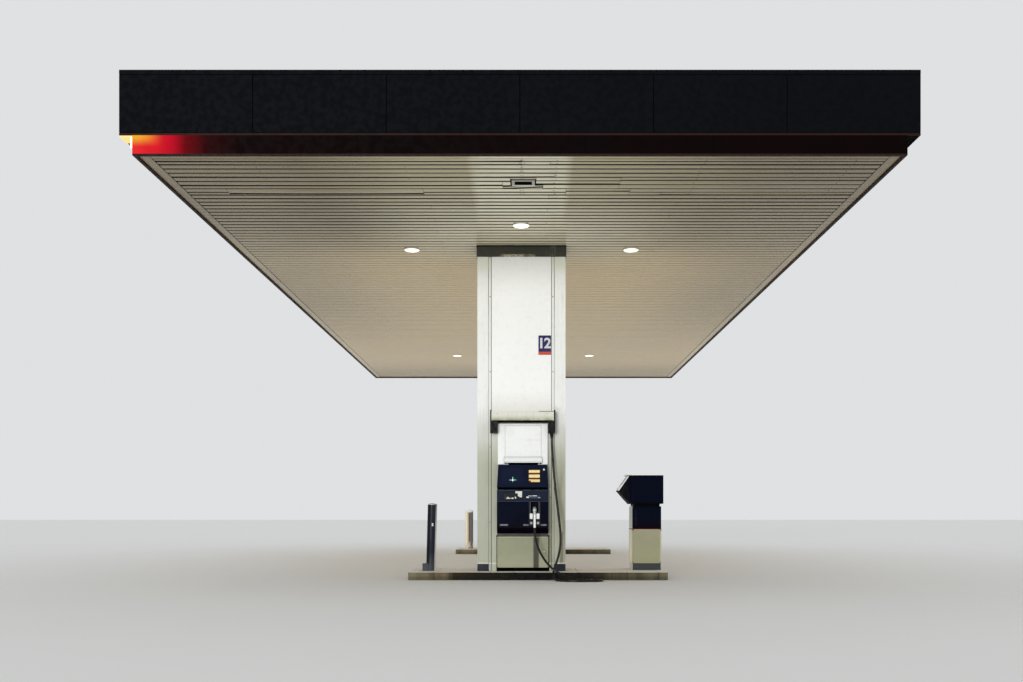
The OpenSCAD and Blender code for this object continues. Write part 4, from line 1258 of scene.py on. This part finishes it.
@on_faces
def build_core(bm, place):
    """Bright spot of the display with its four short rays."""
    head_plates(bm, place, 0.0036, (-0.14, -0.124, 1.499, 1.519))
    head_plates(bm, place, 0.0034, (-0.178, -0.14, 1.507, 1.511), (-0.124, -0.088, 1.507, 1.511),
                (-0.134, -0.13, 1.482, 1.499), (-0.134, -0.13, 1.519, 1.552))


# Cabinet band: card reader and labels
BAND_OUT = -0.345
READER_X = (-0.261, -0.056)
READER_Z = (1.21, 1.307)


@on_faces
def build_labels(bm, place):
    """Small white labels, torn: blank on purpose."""
    head_plates(bm, place, 0.001, (0.33, 0.355, 1.656, 1.682))
    plates(bm, place, BAND_OUT, 0.001, (-0.0925, 0.009, 1.262, 1.339), (-0.03, 0.009, 1.248, 1.262))
    plates(bm, place, BAND_OUT - 0.001, 0.0005, (0.075, 0.112, 1.238, 1.258),
           (0.105, 0.155, 1.264, 1.272), (0.165, 0.235, 1.265, 1.275), (0.258, 0.285, 1.238, 1.246))


@on_faces
def build_faded_label(bm, place):
    """Dark bar on the cabinet's band, with a narrow raised foot."""
    plates(bm, place, BAND_OUT, 0.001, (0.105, 0.275, 1.238, 1.272))
    plates(bm, place, BAND_OUT - 0.001, 0.0008, (0.09, 0.298, 1.232, 1.238))


@on_faces
def build_reader(bm, place):
    """Card reader: a raised frame round a dark mouth."""
    width = 0.012
    edge_frame(bm, place, BAND_OUT, 0.012, width, READER_X, READER_Z)
    plates(bm, place, BAND_OUT, 0.002, (READER_X[0] + width, READER_X[1] - width,
                                        READER_Z[0] + width, READER_Z[1] - width))


@on_faces
def build_reader_parts(bm, place):
    """Bright bits in the reader's mouth: its slot plate and two keys."""
    plates(bm, place, BAND_OUT - 0.002, 0.004, (-0.23, -0.165, 1.224, 1.238),
           (-0.215, -0.195, 1.238, 1.252), (-0.15, -0.12, 1.222, 1.242), (-0.1, -0.08, 1.228, 1.254))


piece("head_frames", build_head_frames, NAVY, bevel=0.001)
piece("head_glass", build_head_glass, GLASS)
piece("price_rows", build_prices, DISPLAY)
piece("price_bars", build_price_bars, BROWN)
piece("price_surrounds", build_price_surround, SURROUND)
piece("display_segments", build_digits, GREEN)
piece("display_cores", build_core, CORE)
piece("pump_labels", build_labels, LABEL)
piece("faded_labels", build_faded_label, FADED)
piece("card_readers", build_reader, BLACK, bevel=0.0015)
piece("reader_parts", build_reader_parts, LABEL)


# Service doors
DOOR_OUT = -0.25


@on_faces
def build_door_trim(bm, place):
    """Folded edge round each service door."""
    edge_frame(bm, place, DOOR_OUT, 0.003, 0.016, DOOR_X, DOOR_Z)


@on_faces
def build_locks(bm, place):
    knob(bm, place, 0.35, DOOR_OUT, 0.42,
         [(0.014, 0), (0.014, 0.004), (0.009, 0.007), (0.003, 0.0075)], 20)


piece("door_edges", build_door_trim, DOOR, bevel=0.0015)
piece("door_locks", build_locks, SILVER, smooth=True)


# Boots, their lugs and the fuel nozzle
BOOT_X = 0.2
BOOT_OUT = -0.4
LUG_OFFSETS = (-0.0505, 0.0505)
POCKET = ((0.144, 0.256), (1.03, 1.18))
GRIP_Y = -0.432
CUT_CORNERS = ((1, 0.5), (0.5, 1), (-0.5, 1), (-1, 0.5), (-1, -0.5), (-0.5, -1), (0.5, -1), (1, -0.5))


@on_faces
def build_boot_edges(bm, place):
    """Worn raised edge round each boot's pocket."""
    (x0, x1), (z0, z1) = POCKET
    top = z1 + 0.008
    plates(bm, place, BOOT_OUT, 0.003, (x0 - 0.016, x0 - 0.006, 1, top), (x1 + 0.006, x1 + 0.016, 1, top),
           (x0 - 0.006, x1 + 0.006, z1 + 0.001, top))


def add_lugs(bm, place, outline, half):
    """A pair of lugs on a boot, one on either side of the nozzle's grip."""
    for offset in LUG_OFFSETS:
        prism(bm, outline, (BOOT_X + offset - half, BOOT_X + offset + half), along_x, place)


@on_faces
def build_cradle_lugs(bm, place):
    """Upper lugs that the nozzle's grip hangs between."""
    add_lugs(bm, place, [(BOOT_OUT, 0.917), (BOOT_OUT, 1), (-0.45, 1), (-0.4425, 0.935),
                         (-0.436, 0.917)], 0.0225)


@on_faces
def build_cradle_feet(bm, place):
    """Smaller lower lugs."""
    add_lugs(bm, place, [(BOOT_OUT, 0.838), (BOOT_OUT, 0.875), (-0.4353, 0.875), (-0.4305, 0.845),
                         (-0.427, 0.838)], 0.019)


@on_faces
def build_cradle_waists(bm, place):
    """Narrow arms between the lugs."""
    add_lugs(bm, place, [(BOOT_OUT, 0.879), (BOOT_OUT, 0.917), (-0.424, 0.917), (-0.424, 0.879)], 0.012)


def nozzle_part(bm, way, rows):
    """A form through rectangles with cut corners: each row is Y, height and two half sizes."""
    skin(bm, [[FRONT @ (Vector((BOOT_X + a * wide, y, z)) + b * deep * Vector(way))
               for a, b in CUT_CORNERS] for y, z, wide, deep in rows])


def build_nozzle_body(bm):
    """Cast body with its spout into the pocket, and the grip down to the swivel."""
    nozzle_part(bm, (0, 0, 1), [
        (-0.452, 1.046, 0.016, 0.016), (-0.442, 1.05, 0.026, 0.027), (-0.38, 1.068, 0.028, 0.036),
        (-0.35, 1.072, 0.02, 0.026), (-0.325, 1.066, 0.014, 0.016)])
    nozzle_part(bm, (0, 1, 0), [
        (GRIP_Y, 0.79, 0.017, 0.017), (GRIP_Y, 0.84, 0.02, 0.019), (GRIP_Y, 0.93, 0.018, 0.016),
        (GRIP_Y, 1, 0.02, 0.018), (GRIP_Y + 0.006, 1.05, 0.022, 0.02)])


def build_nozzle_spine(bm):
    """White cover along the outside of the grip."""
    right = [(0.0145, 0.785), (0.0155, 0.9), (0.0165, 0.975), (0.011, 0.986)]
    outline = [(BOOT_X + a, b) for a, b in right] + [(BOOT_X - a, b) for a, b in right[::-1]]
    prism(bm, outline, (GRIP_Y - 0.025, GRIP_Y - 0.012), along_y, FRONT)


def build_nozzle_collar(bm):
    """Swivel between the grip and the hose."""
    lathe(bm, [(0.0185, 0.715), (0.021, 0.722), (0.021, 0.742), (0.0235, 0.748), (0.0235, 0.772),
               (0.020, 0.78), (0.0185, 0.794)], FRONT @ Matrix.Translation((BOOT_X, GRIP_Y, 0)), 28)


def build_gland(bm):
    """Tapered sleeve where the hose leaves its bracket."""
    lathe(bm, [(0.0185, -0.085), (0.0195, -0.08), (0.027, -0.02), (0.032, -0.012), (0.032, 0)],
          Matrix.Translation(HOSE_POINTS[0]), 28)


piece("cradle_lugs", build_cradle_lugs, CRADLE, ["nozzle_cradles"], bevel=0.002)
piece("cradle_feet", build_cradle_feet, DIM_WHITE, bevel=0.002)
piece("cradle_waists", build_cradle_waists, BOOT, bevel=0.002)
piece("boot_edges", build_boot_edges, BOOT_EDGE, bevel=0.001)
piece("nozzle_body", build_nozzle_body, DULL_SILVER, ["fuel_nozzle"], bevel=0.003, smooth=True)
piece("nozzle_cover", build_nozzle_spine, CRADLE, bevel=0.003)
piece("nozzle_swivel", build_nozzle_collar, BLACK, smooth=True)
piece("hose_gland", build_gland, BLACK, smooth=True)


# Kerbed islands
ISLAND_X = (-1.7, 2.2)
ISLAND_Y = (4.45, 5.64)
STONE_ENDS = (-1.7, -1.31, -1.075, -0.1, 0.86, 1.36, 1.59, 2.06, 2.2)
KERB_WIDTH = 0.14


def add_island(name, side):
    """Kerb stones with narrow joints round a slab in three parts."""
    low, high = sorted(side * y for y in ISLAND_Y)
    x0, x1 = ISLAND_X

    def add_stone(bm, x, y, joint=0.004, top=ISLAND_TOP):
        block(bm, (x[0] + joint / 2, x[1] - joint / 2), (y[0] + joint / 2, y[1] - joint / 2), (0, top))

    def build_stones(bm):
        for ends in zip(STONE_ENDS, STONE_ENDS[1:]):
            add_stone(bm, ends, (low, low + KERB_WIDTH))
            add_stone(bm, ends, (high - KERB_WIDTH, high))
        for x in ((x0, x0 + KERB_WIDTH), (x1 - KERB_WIDTH, x1)):
            add_stone(bm, x, (low + KERB_WIDTH, high - KERB_WIDTH))

    def build_slab(bm):
        third = (x1 - x0 - 2 * KERB_WIDTH) / 3
        for i in range(3):
            start = x0 + KERB_WIDTH + i * third
            add_stone(bm, (start, start + third), (low + KERB_WIDTH, high - KERB_WIDTH),
                      top=ISLAND_TOP - 0.002)

    piece(f"{name}_kerb_stones", build_stones, KERB, [f"{name}_island"], bevel=0.006)
    piece(f"{name}_island_slab", build_slab, KERB, bevel=0.003)


add_island("front", -1)
add_island("rear", 1)


# Payment terminal
TERMINAL = Matrix.Translation((1.955, -4.78, 0))
TERMINAL_HALF = (0.225, 0.24)
CONSOLE_FOOT = Vector((1.511, 1.364))
CONSOLE_SLOPE = Vector((1.672, 1.594)) - CONSOLE_FOOT
CONSOLE_ALONG = CONSOLE_SLOPE.normalized()
CONSOLE_OUT = Vector((-CONSOLE_ALONG.y, CONSOLE_ALONG.x))


def build_terminal_trim(bm):
    """Raised edge frame on the lower cabinet's four faces."""
    for turn in range(4):
        wide, deep = TERMINAL_HALF if turn % 2 == 0 else TERMINAL_HALF[::-1]
        edge_frame(bm, TERMINAL @ Matrix.Rotation(math.radians(90 * turn), 4, "Z"), -deep, 0.003, 0.018,
                   (-wide, wide), (0.226, 0.752))


def build_rust_line(bm):
    frame_ring(bm, *TERMINAL_HALF, [(0, 0.753), (0.003, 0.753), (0.003, 0.763), (0, 0.763)],
               TERMINAL.translation)


def build_waist_panel(bm):
    """Shallow access panels on the housing's front and back."""
    for turn in (0, math.pi):
        place = TERMINAL @ Matrix.Rotation(turn, 4, "Z")
        plates(bm, place, -0.24, 0.0025, (-0.17, 0.17, 0.81, 1.06))
        plates(bm, place, -0.271, 0.0025, (-0.2, 0.2, 1.2, 1.555))


def console_slab(bm, start, length, low, high, y):
    """A slab on the console's leaning face: places up along it, heights over it and Y places."""
    prism(bm, [CONSOLE_FOOT + CONSOLE_ALONG * a + CONSOLE_OUT * b
               for a, b in ((start, low), (start + length, low), (start + length, high), (start, high))],
          y, along_y)


def build_console_lid(bm):
    """Pale lid along the console's leaning top."""
    console_slab(bm, 0, CONSOLE_SLOPE.length, -0.014, 0.003, (-4.986, -4.574))


def build_console_keys(bm):
    """Twelve keys in four rows."""
    for row in range(4):
        for column in range(3):
            y = -4.72 + 0.03 * column
            console_slab(bm, 0.035 + 0.026 * row, 0.018, 0.003, 0.008, (y, y + 0.022))


def build_console_screen(bm):
    console_slab(bm, 0.12, 0.12, 0.003, 0.006, (-4.93, -4.76))


piece("terminal_edges", build_terminal_trim, TERMINAL_CABINET, bevel=0.001)
piece("terminal_rust_line", build_rust_line, RUST)
piece("terminal_panels", build_waist_panel, TERMINAL_NAVY, bevel=0.0012)
piece("console_lid", build_console_lid, WHITE, bevel=0.002)
piece("console_keys", build_console_keys, SILVER, bevel=0.001)
piece("console_screen", build_console_screen, GLASS)


# Bollards
BOLLARD_X = -1.4
LEANING_FOOT = (Matrix.Translation((BOLLARD_X, -5.2, ISLAND_TOP))
                @ Matrix.Rotation(math.radians(1.5), 4, "Y"))


def build_front_cap(bm):
    """Bright worn rim round the top of the leaning bollard."""
    lathe(bm, [(0.0715, 1.012), (0.0735, 1.014), (0.0735, 1.026), (0.0715, 1.028), (0.068, 1.028),
               (0.068, 1.024)], LEANING_FOOT, 48, loop=True)


def build_front_dome(bm):
    """Shallow dark dome that closes the bollard's top."""
    lathe(bm, [(0.0675, 1.024), (0.0675, 1.026), (0.045, 1.033), (0.015, 1.036)], LEANING_FOOT, 48)


def build_rear_rim(bm):
    """White collar round the mouth of the rear bollard, with a lifting loop."""
    place = Matrix.Translation((BOLLARD_X, 5.2, 0))
    lathe(bm, [(0.1, 1.05), (0.106, 1.052), (0.106, 1.09), (0.1, 1.097), (0.096, 1.097), (0.096, 1.05)],
          place, 48, loop=True)
    loop = [place @ Vector((0.025 - 0.05 * math.cos(a), -0.085, 1.08 + 0.05 * math.sin(a)))
            for a in (math.pi * i / 12 for i in range(13))]
    add_tube(bm, loop, 0.008, 10)


def build_reflector(bm):
    """Small pale reflectors, a little to one side of the tube's front and back."""
    place = Matrix.Translation((BOLLARD_X + 0.012, -5.2, 0))
    for turn in (0, math.pi):
        spin = place @ Matrix.Rotation(turn + math.radians(17), 4, "Z")
        plates(bm, spin, -0.069, 0.0075, (-0.011, 0.011, 0.806, 0.854))


piece("bollard_rim", build_front_cap, SILVER, smooth=True)
piece("bollard_dome", build_front_dome, FRONT_BOLLARD, smooth=True)
piece("rear_bollard_rim", build_rear_rim, WHITE, smooth=True)
piece("bollard_reflectors", build_reflector, LABEL, bevel=0.002)


# Floor and light
def floor_finish():
    f = Finish("studio_floor", (232, 231, 228), 0.85)
    f.paint((226, 225, 222), 0.2, f.noise(0.3, 0.35, 0.7))
    f.bump(20, 0.0005, 0.2)
    return f


floor_data = bpy.data.meshes.new("floor")
floor_data.from_pydata([(-200, -200, 0), (200, -200, 0), (200, 200, 0), (-200, 200, 0)], [],
                       [(0, 1, 2, 3)])
floor_data.materials.append(floor_finish().mat)
floor = bpy.data.objects.new("floor", floor_data)
bpy.context.scene.collection.objects.link(floor)


def build_world():
    """Soft sky: plain light for the object, a paler backdrop where it is seen."""
    world = bpy.data.worlds.new("world")
    world.use_nodes = True
    tree = world.node_tree
    lighting = tree.nodes["Background"]
    lighting.inputs["Color"].default_value = (0.86, 0.88, 0.9, 1)
    lighting.inputs["Strength"].default_value = 0.85
    backdrop = tree.nodes.new("ShaderNodeBackground")
    backdrop.inputs["Color"].default_value = rgb(222, 224, 226)
    path = tree.nodes.new("ShaderNodeLightPath")
    seen = tree.nodes.new("ShaderNodeMath")
    seen.operation = "MAXIMUM"
    mix = tree.nodes.new("ShaderNodeMixShader")
    for output, socket in ((path.outputs["Is Camera Ray"], seen.inputs[0]),
                           (path.outputs["Is Glossy Ray"], seen.inputs[1]),
                           (seen.outputs[0], mix.inputs[0]), (lighting.outputs[0], mix.inputs[1]),
                           (backdrop.outputs[0], mix.inputs[2]),
                           (mix.outputs[0], tree.nodes["World Output"].inputs["Surface"])):
        tree.links.new(output, socket)
    bpy.context.scene.world = world


def soft_sun(heading, height, width, strength):
    """A wide soft sun in front of the canopy: heading in degrees from the front to the left."""
    data = bpy.data.lights.new("key", "SUN")
    data.energy = strength
    data.angle = math.radians(width)
    sun = bpy.data.objects.new("key", data)
    sun.rotation_euler = (math.radians(90 - height), 0, math.radians(-heading))
    bpy.context.scene.collection.objects.link(sun)


build_world()
soft_sun(heading=16, height=3, width=16, strength=1.62)
